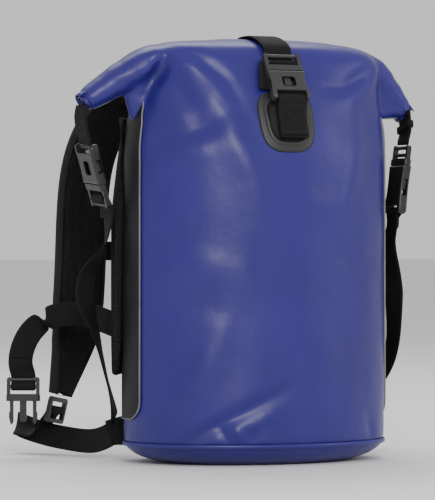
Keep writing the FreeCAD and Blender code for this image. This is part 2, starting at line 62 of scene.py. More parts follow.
# %% Small helpers for nodes
def node(tree, kind, settings=(), **inputs):
    """A shader node with its settings and its unlinked inputs."""
    made = tree.nodes.new(kind)
    for key, value in dict(settings).items():
        setattr(made, key, value)
    for key, value in inputs.items():
        made.inputs[key.replace("_", " ")].default_value = value
    return made


def new_finish(name, colour, roughness, **sockets):
    """A material with a Principled shader whose even values are set on its own sockets."""
    finish = bpy.data.materials.new(name)
    finish.use_nodes = True
    shader = finish.node_tree.nodes["Principled BSDF"]
    shader.inputs["Base Color"].default_value = (*colour, 1)
    shader.inputs["Roughness"].default_value = roughness
    for key, value in sockets.items():
        shader.inputs[key.replace("_", " ")].default_value = value
    return finish, finish.node_tree, shader


def coordinates(tree, kind="Object", scale=(1, 1, 1)):
    """Object or UV coordinates, scaled."""
    source = node(tree, "ShaderNodeTexCoord")
    mapping = node(tree, "ShaderNodeMapping", Scale=scale)
    tree.links.new(source.outputs[kind], mapping.inputs["Vector"])
    return mapping.outputs["Vector"]


def vary_colour(tree, shader, amount, dark, light):
    """Base colour that moves between two colours with a 0 to 1 value."""
    ramp = node(tree, "ShaderNodeValToRGB")
    ramp.color_ramp.elements[0].color = (*dark, 1)
    ramp.color_ramp.elements[1].color = (*light, 1)
    tree.links.new(amount, ramp.inputs["Fac"])
    tree.links.new(ramp.outputs["Color"], shader.inputs["Base Color"])
    return ramp


def vary_roughness(tree, shader, amount, low, high):
    """Roughness between two values."""
    scale = node(tree, "ShaderNodeMapRange", To_Min=low, To_Max=high)
    tree.links.new(amount, scale.inputs["Value"])
    tree.links.new(scale.outputs["Result"], shader.inputs["Roughness"])


def add_bump(tree, shader, heights):
    """Bumps laid over each other: pairs of a height output and its depth in metres."""
    before = None
    for height, depth in heights:
        bump = node(tree, "ShaderNodeBump", Strength=1.0, Distance=depth)
        tree.links.new(height, bump.inputs["Height"])
        if before is not None:
            tree.links.new(before.outputs["Normal"], bump.inputs["Normal"])
        before = bump
    tree.links.new(before.outputs["Normal"], shader.inputs["Normal"])


def noise_of(tree, vector, scale, detail=3.0, rough=0.5):
    """A noise value."""
    made = node(tree, "ShaderNodeTexNoise", Scale=scale, Detail=detail, Roughness=rough)
    tree.links.new(vector, made.inputs["Vector"])
    return made.outputs["Fac"]


def wave_of(tree, vector, direction, pitch):
    """Even ribs at a pitch in metres."""
    made = node(tree, "ShaderNodeTexWave", {"bands_direction": direction}, Scale=math.pi / (10 * pitch))
    tree.links.new(vector, made.inputs["Vector"])
    return made.outputs["Fac"]


def times(tree, first, second, operation="MULTIPLY"):
    """Two values joined by one sum."""
    made = node(tree, "ShaderNodeMath", {"operation": operation})
    for socket, value in zip(made.inputs, (first, second)):
        if isinstance(value, (int, float)):
            socket.default_value = value
        else:
            tree.links.new(value, socket)
    return made.outputs["Value"]


# %% [markdown]
# ### Coated fabric
# Tarpaulin is a polyester grid between two skins of soft plastic. It shines softly, the grid shows as a very fine
# check, and the skin has shallow dents. Two rib patterns give the check, and two noises give dents and scuffs.

# %% Coated fabric, blue and black
def coated_fabric(name, dark, light, low_rough, high_rough, coat, dent, gloss):
    """A shiny or dull coat over a fine grid, with cloudy colour and shallow dents of a depth in metres."""
    finish, tree, shader = new_finish(name, light, low_rough, Coat_Weight=coat, Coat_Roughness=0.22,
                                      Specular_IOR_Level=gloss)
    where = coordinates(tree)
    cloudy = noise_of(tree, where, 14.0, 4.0)
    scuffs = noise_of(tree, coordinates(tree, scale=(1, 1, 0.25)), 180.0, 2.0)
    vary_colour(tree, shader, times(tree, times(tree, cloudy, 0.8), times(tree, scuffs, 0.2), "ADD"), dark, light)
    vary_roughness(tree, shader, noise_of(tree, where, 45.0, 4.0), low_rough, high_rough)
    grid = times(tree, wave_of(tree, where, "X", 0.0011), wave_of(tree, where, "Z", 0.0011), "MAXIMUM")
    add_bump(tree, shader, [(grid, 0.00003), (noise_of(tree, where, 60.0, 3.0), dent), (scuffs, 0.00006)])
    return finish


PVC = coated_fabric("pvc_blue_finish", (0.012, 0.008, 0.110), (0.024, 0.017, 0.190), 0.34, 0.44, 0.04, 0.0005, 0.38)
BACK = coated_fabric("back_fabric_finish", (0.0045, 0.0045, 0.005), (0.010, 0.010, 0.011), 0.45, 0.6, 0.0,
                     0.0004, 0.3)
print("coated fabric", PVC.name, BACK.name)

# %% [markdown]
# ### Webbing
# Webbing is woven from thick threads: long cords run its length, and thin threads cross them. Its pattern has to
# follow the strap as it bends, so it reads the strap's own UV map, which is in metres across and along.

# %% Webbing and thread
def woven(name, dark, light, cord, cross, depth):
    """Webbing: cords at one pitch along it, threads at another pitch across it, both in metres."""
    finish, tree, shader = new_finish(name, light, 0.75, Specular_IOR_Level=0.25)
    lay = coordinates(tree, "UV")
    weave = times(tree, wave_of(tree, lay, "X", cord), wave_of(tree, lay, "Y", cross))
    fuzz = noise_of(tree, coordinates(tree), 900.0, 2.0)
    worn = noise_of(tree, coordinates(tree), 30.0, 3.0)
    mixed = times(tree, times(tree, weave, 0.55), times(tree, times(tree, worn, fuzz), 0.9), "ADD")
    vary_colour(tree, shader, mixed, dark, light)
    add_bump(tree, shader, [(weave, depth), (fuzz, 0.00008)])
    return finish


WEBBING = woven("webbing_finish", (0.0012, 0.0012, 0.0014), (0.0085, 0.0085, 0.009), 0.0013, 0.0016, 0.00035)
BINDING = woven("binding_finish", (0.003, 0.003, 0.0033), (0.020, 0.020, 0.021), 0.0008, 0.0010, 0.00015)
THREAD, thread_tree, thread_shader = new_finish("thread_finish", (0.008, 0.008, 0.009), 0.65)
twist = noise_of(thread_tree, coordinates(thread_tree), 1500.0, 2.0)
vary_colour(thread_tree, thread_shader, twist, (0.004, 0.004, 0.0045), (0.018, 0.018, 0.020))
print("woven", WEBBING.name, BINDING.name, THREAD.name)

# %% [markdown]
# ### Spacer mesh
# The padded faces are covered in spacer mesh, a knit with small round holes that lets air through. A cell
# pattern in three dimensions gives the holes, so they run over the pad's rounded edges without a seam.

# %% Spacer mesh
MESH, tree, shader = new_finish("spacer_mesh_finish", (0.006, 0.006, 0.0065), 0.9, Specular_IOR_Level=0.2)
cells = node(tree, "ShaderNodeTexVoronoi", {"feature": "F1"}, Scale=330.0, Randomness=0.35)
tree.links.new(coordinates(tree, scale=(1, 1, 0.8)), cells.inputs["Vector"])
hole = times(tree, cells.outputs["Distance"], 1.3)
vary_colour(tree, shader, hole, (0.0012, 0.0012, 0.0014), (0.013, 0.013, 0.0135))
add_bump(tree, shader, [(hole, 0.0006), (noise_of(tree, coordinates(tree), 40.0), 0.0008)])
print("mesh", MESH.name)

# %% [markdown]
# ### Moulded plastic and rubber
# Buckles are moulded in acetal, a hard plastic with a satin grain. The patch is a softer rubber with a matter
# surface. The mould's grain is a fine noise, and handling leaves slightly brighter, smoother areas.

# %% Moulded finishes
def moulded(name, dark, light, low_rough, high_rough, grain):
    """Satin plastic or rubber with a fine mould grain of a depth in metres."""
    finish, tree, shader = new_finish(name, light, low_rough)
    where = coordinates(tree)
    handled = noise_of(tree, where, 70.0, 4.0)
    vary_colour(tree, shader, handled, dark, light)
    vary_roughness(tree, shader, noise_of(tree, where, 160.0, 3.0), low_rough, high_rough)
    add_bump(tree, shader, [(noise_of(tree, where, 2200.0, 2.0), grain), (handled, 0.0001)])
    return finish


PLASTIC = moulded("buckle_plastic_finish", (0.006, 0.006, 0.0065), (0.014, 0.014, 0.015), 0.32, 0.42, 0.00006)
# The front buckles get a lighter copy of the same acetal. Its lighter colour is a painted highlight that stands in
# for the light on them.
FRONT_PLASTIC_PAINTED_HIGHLIGHT = moulded("front_buckle_painted_highlight_finish", (0.020, 0.020, 0.021), (0.036, 0.036, 0.038), 0.30, 0.40, 0.00006)
RUBBER = moulded("patch_rubber_finish", (0.009, 0.009, 0.010), (0.017, 0.017, 0.018), 0.40, 0.50, 0.00008)
STIFFENER = moulded("stiffener_finish", (0.03, 0.03, 0.03), (0.05, 0.05, 0.05), 0.5, 0.6, 0.00005)
CUT_EDGE = moulded("cut_edge_finish", (0.10, 0.10, 0.11), (0.22, 0.22, 0.23), 0.5, 0.6, 0.00004)
print("moulded", PLASTIC.name, RUBBER.name)

# %% [markdown]
# ## Tools for the soft pieces
# Nearly everything on a bag is a shape drawn along a line: a strap, a rolled tube, a wall that grows ring by ring.
# One helper makes them all: it lays a first ring of vertices, and then extrudes its edges once for each next ring.

# %% Grow a mesh ring by ring
def is_vertex(item):
    return isinstance(item, bmesh.types.BMVert)


def is_edge(item):
    return isinstance(item, bmesh.types.BMEdge)


def grow(rings, closed=True, capped=True, weave=None):
    """A bmesh that runs through rings of points. Weave gives each point's place across and along, for its UV."""
    bm = bmesh.new()
    row = [bm.verts.new(p) for p in rings[0]]
    pairs = list(zip(row, row[1:] + row[:1])) if closed else list(zip(row, row[1:]))
    edges = [bm.edges.new(pair) for pair in pairs]
    rows = [row]
    if closed and capped:
        bm.faces.new(row)
    for ring in rings[1:]:
        grown = bmesh.ops.extrude_edge_only(bm, edges=edges)["geom"]
        fresh = {v for v in grown if is_vertex(v)}
        row = [next(e.other_vert(v) for e in v.link_edges if e.other_vert(v) in fresh) for v in row]
        for vertex, place in zip(row, ring):
            vertex.co = place
        edges = [e for e in grown if is_edge(e) and e.verts[0] in fresh and e.verts[1] in fresh]
        rows.append(row)
    if closed and capped:
        bm.faces.new(row)
    if weave is not None:
        layer = bm.loops.layers.uv.new("UVMap")
        place_of = {v: weave[i][j] for i, line in enumerate(rows) for j, v in enumerate(line)}
        for face in bm.faces:
            for corner in face.loops:
                corner[layer].uv = place_of[corner.vert]
    bmesh.ops.recalc_face_normals(bm, faces=bm.faces)
    return bm


def piece(name, bm, finish, smooth=True):
    """A finished object at the origin, from a bmesh in metres."""
    mesh = bpy.data.meshes.new(name)
    bm.to_mesh(mesh)
    bm.free()
    for face in mesh.polygons:
        face.use_smooth = smooth
    made = bpy.data.objects.new(name, mesh)
    bpy.context.scene.collection.objects.link(made)
    made.data.materials.append(finish)
    return made


# %% [markdown]
# A strap's line has to be smooth and pass through the points where the real strap is held. A cubic spline does
# that: its bends are as even as those of a springy strip.

# %% A smooth line through points
def smooth_line(points, step=2.5):
    """Places, directions and given-point numbers along a smooth line through points, all in millimetres."""
    given = np.array([tuple(p) for p in points], float)
    along = np.r_[0, np.cumsum(np.linalg.norm(np.diff(given, axis=0), axis=1))]
    gap = np.diff(along)
    count = len(given)
    system, pull = np.eye(count), np.zeros((count, 3))
    for i in range(1, count - 1):
        system[i, i - 1:i + 2] = gap[i - 1], 2 * (gap[i - 1] + gap[i]), gap[i]
        pull[i] = 6 * ((given[i + 1] - given[i]) / gap[i] - (given[i] - given[i - 1]) / gap[i - 1])
    bend = np.linalg.solve(system, pull)
    result = []
    for place in np.linspace(0, along[-1], max(4, round(along[-1] / step) + 1)):
        i = min(int(np.searchsorted(along, place, side="right")) - 1, count - 2)
        a, b, h = along[i + 1] - place, place - along[i], gap[i]
        spot = (bend[i] * a ** 3 + bend[i + 1] * b ** 3) / (6 * h)
        spot = spot + (given[i] / h - bend[i] * h / 6) * a + (given[i + 1] / h - bend[i + 1] * h / 6) * b
        way = (bend[i + 1] * b ** 2 - bend[i] * a ** 2) / (2 * h)
        way = way + (given[i + 1] - given[i]) / h - (bend[i + 1] - bend[i]) * h / 6
        result.append((Vector(spot), Vector(way).normalized(), i + b / h, place))
    return result


def between(values, number):
    """The value at a fractional place in a list."""
    i = min(int(number), len(values) - 2)
    return values[i] * (1 - number + i) + values[i + 1] * (number - i)


# %% [markdown]
# ### Webbing as a mesh
# Webbing is flat, a little thicker at its selvedges, and stays level across while it bends along. Each section is
# a flat ring of points, turned to the strap's own across direction. Its UV is measured in metres, so that the
# weave has the same size on every strap.

# %% Lay webbing along a line
WEB = 1.6                  # thickness of webbing, in millimetres
ACROSS_STEPS = 10
LAID = {}                  # name of each strap: its stations, for the stitches


def flat_section(width, thickness):
    """Offsets across and out for one section, once round: edges rounded, selvedges a little thicker."""
    half = width / 2
    spots = [-half + width * k / ACROSS_STEPS for k in range(ACROSS_STEPS + 1)]
    full = [thickness / 2 * (1.12 if 0 < k < 2 or ACROSS_STEPS - 2 < k < ACROSS_STEPS else 1.0)
            for k in range(ACROSS_STEPS + 1)]
    full[0] = full[-1] = thickness * 0.22
    upper = list(zip(spots, full))
    lower = [(x, -t) for x, t in reversed(upper)]
    return upper + lower


def stations_of(points, across, widths):
    """Centre, direction, across, outward and width along a strap, in millimetres."""
    sides = across if isinstance(across, list) else [across] * len(points)
    wide = widths if isinstance(widths, list) else [widths] * len(points)
    result = []
    for spot, way, number, place in smooth_line(points):
        side = between([Vector(s) for s in sides], number)
        side = (side - way * side.dot(way)).normalized()
        result.append((spot, way, side, way.cross(side), between(wide, number), place))
    return result


def webbing(name, points, across, widths, body=None, stands_for=(), thickness=WEB, finish=None,
            bends=None, wobble=0.25):
    """A strap that rides on a body, or, when it is held by two bodies, is left unattached where it is laid."""
    stations = stations_of(points, across, widths)
    LAID[name] = stations
    rings, weave = [], []
    for spot, way, side, out, width, place in stations:
        cup = noise.noise(Vector((place * 0.02, len(name), 0.5))) * wobble
        offsets = flat_section(width, thickness)
        rings.append([(spot + side * x + out * (t + cup * (1 - (2 * x / width) ** 2))) * MM for x, t in offsets])
        weave.append([(x * MM, place * MM) for x, t in offsets])
    made = piece(name, grow(rings, weave=weave), finish or WEBBING)
    if bends:
        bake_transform(made)
    else:
        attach(made, body)
    if stands_for:
        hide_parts(*stands_for)
    print(name, len(made.data.polygons), "faces,", round(stations[-1][5]), "mm long")
    return made


# %% [markdown]
# A strap that holds a buckle goes round a bar and is sewn back on itself. So its line starts with the short
# sewn end, turns round the bar, and only then follows the route.

# %% Wrap a strap round a bar
LOOP_MIDDLE = 3.35         # from a bar's middle to the middle of the webbing round it


def wrapped(bar, toward, out, route, across, sewn=20.0):
    """A route with its sewn end and its turn round a bar put before it. Out is the side of the sewn end."""
    sides = list(across) if isinstance(across, list) else [across] * len(route)
    lay = stations_of(route, sides, 10.0)
    turn_points = [bar + (out * math.cos(a) + toward * math.sin(a)) * LOOP_MIDDLE
                   for a in (0.0, math.pi * 0.25, math.pi * 0.5, math.pi * 0.75)]
    end_points = []
    for share in (1.0, 0.72, 0.42):
        spot, way, side, normal, _, _ = min(lay, key=lambda s: abs(s[5] - sewn * share))
        lift = normal if normal.dot(out) > 0 else -normal
        end_points.append(spot + lift * (WEB + 0.15))
    added = end_points + turn_points
    flipped = [Vector(sides[0])] * len(added)
    return added + [Vector(p) for p in route], flipped + [Vector(s) for s in sides]

# %% [markdown]
# ## The bag's skin
# The body is an oval tube that narrows and squares off towards its mouth, where the front fabric runs up over the
# roll. Each ring below is one level of that tube: heights at the front, back and two sides, then its half widths,
# its front and back, and how square it is. Between the levels the skin follows a smooth curve.

# %% Levels of the skin, in millimetres
SKIN_LEVELS = [
    (19, 19, 19, 19, 137.5, 137.5, -93.5, 93.5, 2.0),
    (60, 60, 60, 60, 138, 138, -94.5, 93.5, 2.0),
    (150, 150, 150, 150, 138, 138, -94, 93.5, 2.0),
    (240, 240, 240, 240, 138, 138, -94, 93.5, 2.0),
    (300, 300, 300, 300, 138, 138, -93, 93.5, 2.0),
    (322, 322, 322, 322, 136.5, 138, -89.5, 91, 2.05),
    (342, 342, 342, 342, 133, 136.5, -83, 84, 2.1),
    (357, 357, 356, 356, 127.5, 133.5, -77, 76, 2.2),
    (372, 370, 370, 370, 121.5, 130.5, -70.5, 66, 2.4),
    (384, 381, 380, 382, 117.5, 129, -64, 56, 2.7),
    (396, 389, 391, 393, 114, 128, -58, 45, 3.2),
    (408, 394, 400, 402, 111, 126.5, -52, 34, 4.0),
    (418, 397, 407, 409, 108, 124, -43, 27, 4.6),
    (424, 399, 411, 413, 104, 120, -31, 22, 5.0),
    (427.2, 400, 413, 415, 98, 114, -17, 18, 5.0),
    (427.8, 401, 414, 416, 88, 104, -5, 14, 5.0),
]


LEVEL_STEPS = 6


def smooth_table(table, steps):
    """Rows of a table with smooth in-between rows, by the same springy curve as the straps."""
    rows = np.array(table, float)
    count = len(rows)
    system, pull = np.eye(count), np.zeros_like(rows)
    for i in range(1, count - 1):
        system[i, i - 1:i + 2] = 1, 4, 1
        pull[i] = 6 * (rows[i + 1] - 2 * rows[i] + rows[i - 1])
    bend = np.linalg.solve(system, pull)
    result = []
    for k in range((count - 1) * steps + 1):
        i = min(k // steps, count - 2)
        b = k / steps - i
        a = 1 - b
        result.append(a * rows[i] + b * rows[i + 1]
                      + ((a ** 3 - a) * bend[i] + (b ** 3 - b) * bend[i + 1]) / 6)
    return result


smooth_levels = smooth_table(SKIN_LEVELS, LEVEL_STEPS)


def skin_point(level, angle, grow_by=0.0):
    """A point of one level's ring; angle 0 is the front and a quarter turn is the right side."""
    zf, zb, zl, zr, left, right, front, back, square = level
    s, c = math.sin(angle), math.cos(angle)
    power = 2 / square
    share = abs(s) ** power
    half = (right if s > 0 else left) + grow_by
    x = math.copysign(share, s) * half
    y = (front + back) / 2 - math.copysign(abs(c) ** power, c) * ((back - front) / 2 + grow_by)
    side = zr if s > 0 else zl
    end = zf if c > 0 else zb
    return Vector((x, y, side + (end - side) * (1 - share ** 4)))


print("skin levels", len(smooth_levels))

# %% [markdown]
# The roll is a flattened tube that runs from ear to ear over the mouth. Its two ends droop, because the side
# straps pull them down. It grows ring by ring too: each row gives a centre, a direction, a height and a depth.

# %% The roll and its ears
ROLL = [
    (-183, 2, 361.5, -0.84, 0.02, -0.54, 22, 28),
    (-169, 2, 371, -0.84, 0.02, -0.54, 27, 34),
    (-149, 0, 384, -0.85, 0.02, -0.53, 31, 40),
    (-129, -3, 396.5, -0.88, 0.03, -0.46, 33, 48),
    (-106, -8, 405.5, -0.98, 0, -0.2, 33, 60),
    (-60, -12, 407.8, -1, 0, -0.02, 35, 74),
    (0, -12, 408.5, -1, 0, 0, 36, 76),
    (60, -12, 408, -1, 0, 0.02, 35, 74),
    (100, -8, 406.5, -0.98, 0, 0.2, 32, 60),
    (128, -3, 398.5, -0.78, 0, 0.62, 31, 46),
    (145, 0, 382, -0.66, 0, 0.75, 30, 38),
    (158, 0, 366, -0.64, 0, 0.77, 27, 32),
    (166.5, 0, 355, -0.64, 0, 0.77, 23, 28),
]
ROLL_POINTS = 40


def roll_frame(row):
    """Centre and the deep and rising directions of one section of the roll."""
    along = Vector(row[3:6]).normalized()
    deep = (Vector((0, 1, 0)) - along * along.y).normalized()
    return Vector(row[:3]), along, deep, along.cross(deep)


def roll_ring(row, points=ROLL_POINTS):
    centre, along, deep, rise = roll_frame(row)
    angles = [2 * math.pi * k / points for k in range(points)]
    return [(centre + deep * math.cos(a) * row[7] / 2 + rise * math.sin(a) * row[6] / 2) * MM for a in angles]


roll_rows = smooth_table(ROLL, 5)
print("roll sections", len(roll_rows))

# %% [markdown]
# Where the flat mouth meets the oval body, the spare fabric folds inward on each side like a paper bag's. A thin
# wedge under each ear stands for that fold: rows give its height, its two ends across, and its half thickness.

# %% Folds under the ears
WING_RIGHT = [(349, 122, 152, 6), (353, 121, 161, 9), (363, 120, 158, 11), (377, 119, 148, 12), (392, 116, 137, 12)]
WING_LEFT = [(341, -132, -114, 4), (348, -139, -112, 6), (358, -141, -110, 8), (370, -142, -106, 10),
             (381, -141, -102, 13), (394, -132, -98, 16)]


def wedge_ring(row, points=24):
    z, x0, x1, thick = row
    angles = [2 * math.pi * k / points for k in range(points)]
    return [Vector(((x0 + x1) / 2 + (x1 - x0) / 2 * math.cos(a), -3 + thick * math.sin(a), z)) * MM for a in angles]


def level_ring(level, points=160):
    return [skin_point(level, 2 * math.pi * k / points) * MM for k in range(points)]


skin = grow([level_ring(level) for level in smooth_levels])
for part_of_skin in ([roll_ring(r) for r in roll_rows], [wedge_ring(r) for r in WING_RIGHT],
                     [wedge_ring(r) for r in WING_LEFT]):
    extra = grow(part_of_skin)
    holder = bpy.data.meshes.new("holder")
    extra.to_mesh(holder)
    extra.free()
    skin.from_mesh(holder)
    bpy.data.meshes.remove(holder)
bag_skin = piece("bag_skin", skin, PVC)
print("bag skin before it is made one", len(bag_skin.data.polygons))

# %% [markdown]
# The body, roll and folds overlap, but the real fabric is one sheet. A voxel remesh wraps one even skin round
# them all, and a few rounds of smoothing turn the joins into soft creases, as in thick fabric.

# %% Make the skin one sheet
def remeshed(obj, voxel):
    """Replaces a mesh by an even one that wraps round it."""
    change = obj.modifiers.new("wrap", "REMESH")
    change.mode = "VOXEL"
    change.voxel_size = voxel
    graph = bpy.context.evaluated_depsgraph_get()
    fresh = bpy.data.meshes.new_from_object(obj.evaluated_get(graph))
    obj.modifiers.remove(change)
    finishes = list(obj.data.materials)
    obj.data = fresh
    fresh.materials.clear()
    for finish in finishes:
        fresh.materials.append(finish)


def smoothed(obj, rounds, factor=0.5):
    bm = bmesh.new()
    bm.from_mesh(obj.data)
    for _ in range(rounds):
        bmesh.ops.smooth_vert(bm, verts=bm.verts, factor=factor, use_axis_x=True, use_axis_y=True, use_axis_z=True)
    bm.to_mesh(obj.data)
    bm.free()


def soft_shading(obj):
    obj.data.polygons.foreach_set("use_smooth", [True] * len(obj.data.polygons))
    obj.data.update()


SKIN_VOXEL, SKIN_ROUNDS = 2.2 * MM, 9
remeshed(bag_skin, SKIN_VOXEL)
smoothed(bag_skin, SKIN_ROUNDS)
print("one skin", len(bag_skin.data.polygons))

# %% [markdown]
# Coated fabric is stiff, so it bends in long soft folds that run from where it is pulled: the ears, the patch and
# the base seam. Each fold below is a line on the front or the back, with a height (in for a valley) and a width.

# %% Folds in the fabric
FRONT_FOLDS = [
    ([(-92, 388), (-70, 356), (-52, 320), (-36, 285), (-28, 240)], 3.4, 15),
    ([(-112, 400), (-98, 372), (-84, 340)], -2.6, 12),
    ([(-134, 318), (-104, 330), (-78, 338), (-62, 350)], -3.6, 11),
    ([(-136, 292), (-104, 306), (-76, 316)], 1.8, 13),
    ([(-108, 418), (-114, 400), (-119, 380)], -5.0, 6),
    ([(-108, 415), (-80, 404), (-58, 384), (-44, 352)], -3.0, 8),
    ([(-92, 402), (-70, 384), (-54, 360)], 2.0, 8),
    ([(124, 410), (100, 392), (76, 380), (44, 376)], -4.0, 8),
    ([(116, 392), (92, 372), (66, 362)], 2.4, 9),
    ([(120, 380), (96, 340), (70, 322)], -1.6, 14),
    ([(78, 368), (82, 330), (72, 290), (52, 240)], 2.6, 13),
    ([(104, 352), (108, 320), (100, 262)], -2.2, 14),
    ([(52, 384), (36, 392), (0, 396), (-36, 390)], -1.8, 7),
    ([(-130, 190), (-90, 200), (-50, 190), (-24, 160)], 2.2, 16),
    ([(-118, 152), (-84, 160), (-58, 148)], -1.8, 13),
    ([(-60, 172), (-74, 122), (-92, 78), (-114, 34)], 3.0, 15),
    ([(4, 80), (-40, 58), (-74, 40), (-98, 24)], -3.6, 7),
    ([(10, 66), (-30, 46), (-64, 30)], 1.6, 7),
    ([(28, 140), (42, 100), (30, 58)], 1.6, 18),
    ([(-74, 42), (-66, 30), (-62, 21)], -2.2, 4),
    ([(-58, 42), (-52, 30), (-50, 21)], 1.8, 4),
    ([(-44, 38), (-40, 28), (-40, 21)], -1.8, 4),
    ([(-28, 32), (-26, 26), (-26, 21)], 1.2, 4),
    ([(96, 46), (102, 32), (104, 21)], -1.6, 6),
    ([(60, 212), (90, 202), (118, 208)], -1.8, 13),
    ([(0, 268), (30, 256), (60, 262)], 1.4, 14),
]
BACK_FOLDS = [
    ([(-60, 398), (-20, 391), (30, 392), (70, 397)], -1.6, 7),
    ([(-80, 40), (-60, 30), (-56, 21)], -1.6, 7),
    ([(50, 42), (44, 32), (42, 21)], -1.4, 7),
]
PATCH_CENTRE = Vector((0, -84, 341))


def fold_height(points, x, z, width):
    """How near a place is to a fold's line, 1 on it and 0 far away, fading at the line's ends."""
    best = np.zeros_like(x)
    count = len(points) - 1
    for k, ((x0, z0), (x1, z1)) in enumerate(zip(points, points[1:])):
        dx, dz = x1 - x0, z1 - z0
        t = np.clip(((x - x0) * dx + (z - z0) * dz) / (dx * dx + dz * dz), 0, 1)
        away = np.hypot(x - x0 - t * dx, z - z0 - t * dz)
        place = (k + t) / count
        best = np.maximum(best, np.exp(-(away / width) ** 2) * np.sin(np.pi * (0.12 + 0.76 * place)))
    return best


def step_up(value, low, high):
    t = np.clip((value - low) / (high - low), 0, 1)
    return t * t * (3 - 2 * t)


def fold_skin(obj):
    mesh = obj.data
    count = len(mesh.vertices)
    co, normal = np.empty(count * 3), np.empty(count * 3)
    mesh.vertices.foreach_get("co", co)
    mesh.vertices.foreach_get("normal", normal)
    co, normal = co.reshape(-1, 3) * 1000, normal.reshape(-1, 3)
    x, y, z = co.T
    front = step_up(-y, -8, 22)
    back = step_up(y, 0, 20)
    shift = np.zeros(count)
    for folds, share in ((FRONT_FOLDS, front), (BACK_FOLDS, back)):
        for points, height, width in folds:
            shift += height * share * fold_height(points, x, z, width)
    waves = np.array([noise.noise(Vector((p[0] / 55, p[1] / 55, p[2] / 110))) for p in co])
    dents = np.array([noise.noise(Vector((p[0] / 24 + 9, p[1] / 24, p[2] / 40))) for p in co])
    rolled = np.array([noise.noise(Vector((p[0] / 60, p[1] / 9 + 3, p[2] / 9))) for p in co])
    high = step_up(z, 385, 405)
    ears = np.maximum(step_up(-x, 112, 130), step_up(x, 128, 138)) * step_up(z, 335, 345)
    shift += (1.6 * waves + 0.45 * dents) * (1 - high) * (1 - ears)
    shift += 1.1 * rolled * np.maximum(high * back, ears)
    calm = 1 - np.exp(-(np.hypot(x - PATCH_CENTRE.x, z - PATCH_CENTRE.z) / 44) ** 4) * front
    under_panel = step_up(y, -45, -28) * step_up(z, 36, 46) * (1 - step_up(z, 372, 384)) * (1 - ears)
    at_seam = step_up(z, 19, 24)
    shift *= calm * (1 - under_panel) * at_seam
    co += normal * shift[:, None]
    mesh.vertices.foreach_set("co", (co * MM).astype(np.float32).ravel())
    mesh.update()


fold_skin(bag_skin)
smoothed(bag_skin, 2)
soft_shading(bag_skin)
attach(bag_skin, "bag")
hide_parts("body_shell", "roll_closure")
print("folded skin", [tuple(round(c, 3) for c in v) for v in (bag_skin.bound_box[0], bag_skin.bound_box[6])])

# %% [markdown]
# At each ear the rolled layers show as a spiral. A spiral line is extruded along the ear, and a Solidify modifier
# gives the fabric its thickness.

# %% Rolled ends
def spiral_end(name, row, outward, turns, inside=14.0, outside=3.5):
    centre, along, deep, rise = roll_frame(row)
    along = along * outward
    steps = round(turns * 30)
    rings = []
    for shift in np.linspace(-inside, outside, 7):
        line = []
        for k in range(steps + 1):
            share = k / steps
            angle = -2.2 + 2 * math.pi * turns * share
            size = 1.03 - 0.72 * share + 0.03 * noise.noise(Vector((share * 9, shift * 0.1, outward)))
            place = centre + along * (shift - 1.5 * share)
            line.append((place + deep * math.cos(angle) * row[7] / 2 * size
                         + rise * math.sin(angle) * row[6] / 2 * size) * MM)
        rings.append(line)
    made = piece(name, grow(rings, closed=False), PVC)
    wall = made.modifiers.new("fabric thickness", "SOLIDIFY")
    wall.thickness = 1.1 * MM
    wall.offset = -1
    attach(made, "bag")
    return made


spiral_end("left_rolled_end", ROLL[0], 1, 2.4)
spiral_end("right_rolled_end", ROLL[-1], -1, 2.2)

# %% [markdown]
# ## The base
# The base is a pillow-shaped panel, welded to the wall. The weld shows as a narrow raised band that catches the
# light, with small puckers where the flat panel is eased round the oval.

# %% Base and weld
BASE = [(0.0, 0.58), (0.0, 0.66), (1.6, 0.75), (5.5, 0.855), (10.5, 0.93), (15.5, 0.975), (19.4, 0.997)]
base_rows = smooth_table(BASE, 4)


def base_ring(row, points=160):
    z, share = row
    ring = []
    for k in range(points):
        angle = 2 * math.pi * k / points
        pucker = 0.5 * noise.noise(Vector((math.sin(angle) * 7, math.cos(angle) * 7, 2))) * step_up(z, 4, 12)
        ring.append(Vector((math.sin(angle) * (138 * share + pucker), -math.cos(angle) * (94 * share + pucker),
                            max(z, 0.0))) * MM)
    return ring


base = piece("base_pillow", grow([base_ring(r) for r in base_rows]), PVC)
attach(base, "bag")
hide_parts("base_panel")

WELD = [(17.6, 0.2), (18.0, 1.0), (19.0, 1.5), (20.6, 1.4), (21.6, 0.9), (22.0, 0.1)]


def weld_ring(row, points=160):
    z, out = row
    lift = 0.25 * math.sin(z)
    return [Vector((math.sin(a) * (138 + out), -math.cos(a) * (94.3 + out), z + lift)) * MM
            for a in [2 * math.pi * k / points for k in range(points)]]


weld = piece("base_weld", grow([weld_ring(r) for r in WELD], capped=False), PVC)
weld_wall = weld.modifiers.new("weld thickness", "SOLIDIFY")
weld_wall.thickness = 0.8 * MM
weld_wall.offset = -1
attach(weld, "bag")
print("base", len(base.data.polygons), "weld", len(weld.data.polygons))

# %% [markdown]
# ## The back
# A black panel of the same coated fabric wraps the back half. It lies on the skin, so its rows are points of the
# skin's own rings, pushed out a little, between two front edges that curve back near the roll and at the foot.

# %% Back panel
PANEL_FOOT, PANEL_TOP, PANEL_CORNER = 45.0, 386.0, 18.0
PANEL_LIFT, PANEL_THICKNESS, PANEL_POINTS = 0.7, 1.5, 110
RIGHT_EDGE_BACK = 6.0      # the right edge lies a little further back than the left one
SIDE_HEIGHT, FRONT_HEIGHT = 2, 0     # columns of a level that hold its height at the side and at the front
PANEL_FRONT = [(45, -25), (300, -25), (340, -22), (360, -14), (374, -4), (386, 8)]


def panel_front(z):
    """How far forward the panel reaches at a height."""
    edge = float(np.interp(z, [p[0] for p in PANEL_FRONT], [p[1] for p in PANEL_FRONT]))
    if z < PANEL_FOOT + PANEL_CORNER:
        drop = (PANEL_FOOT + PANEL_CORNER - z) / PANEL_CORNER
        edge += PANEL_CORNER * (1 - math.sqrt(max(0.0, 1 - drop * drop)))
    return edge


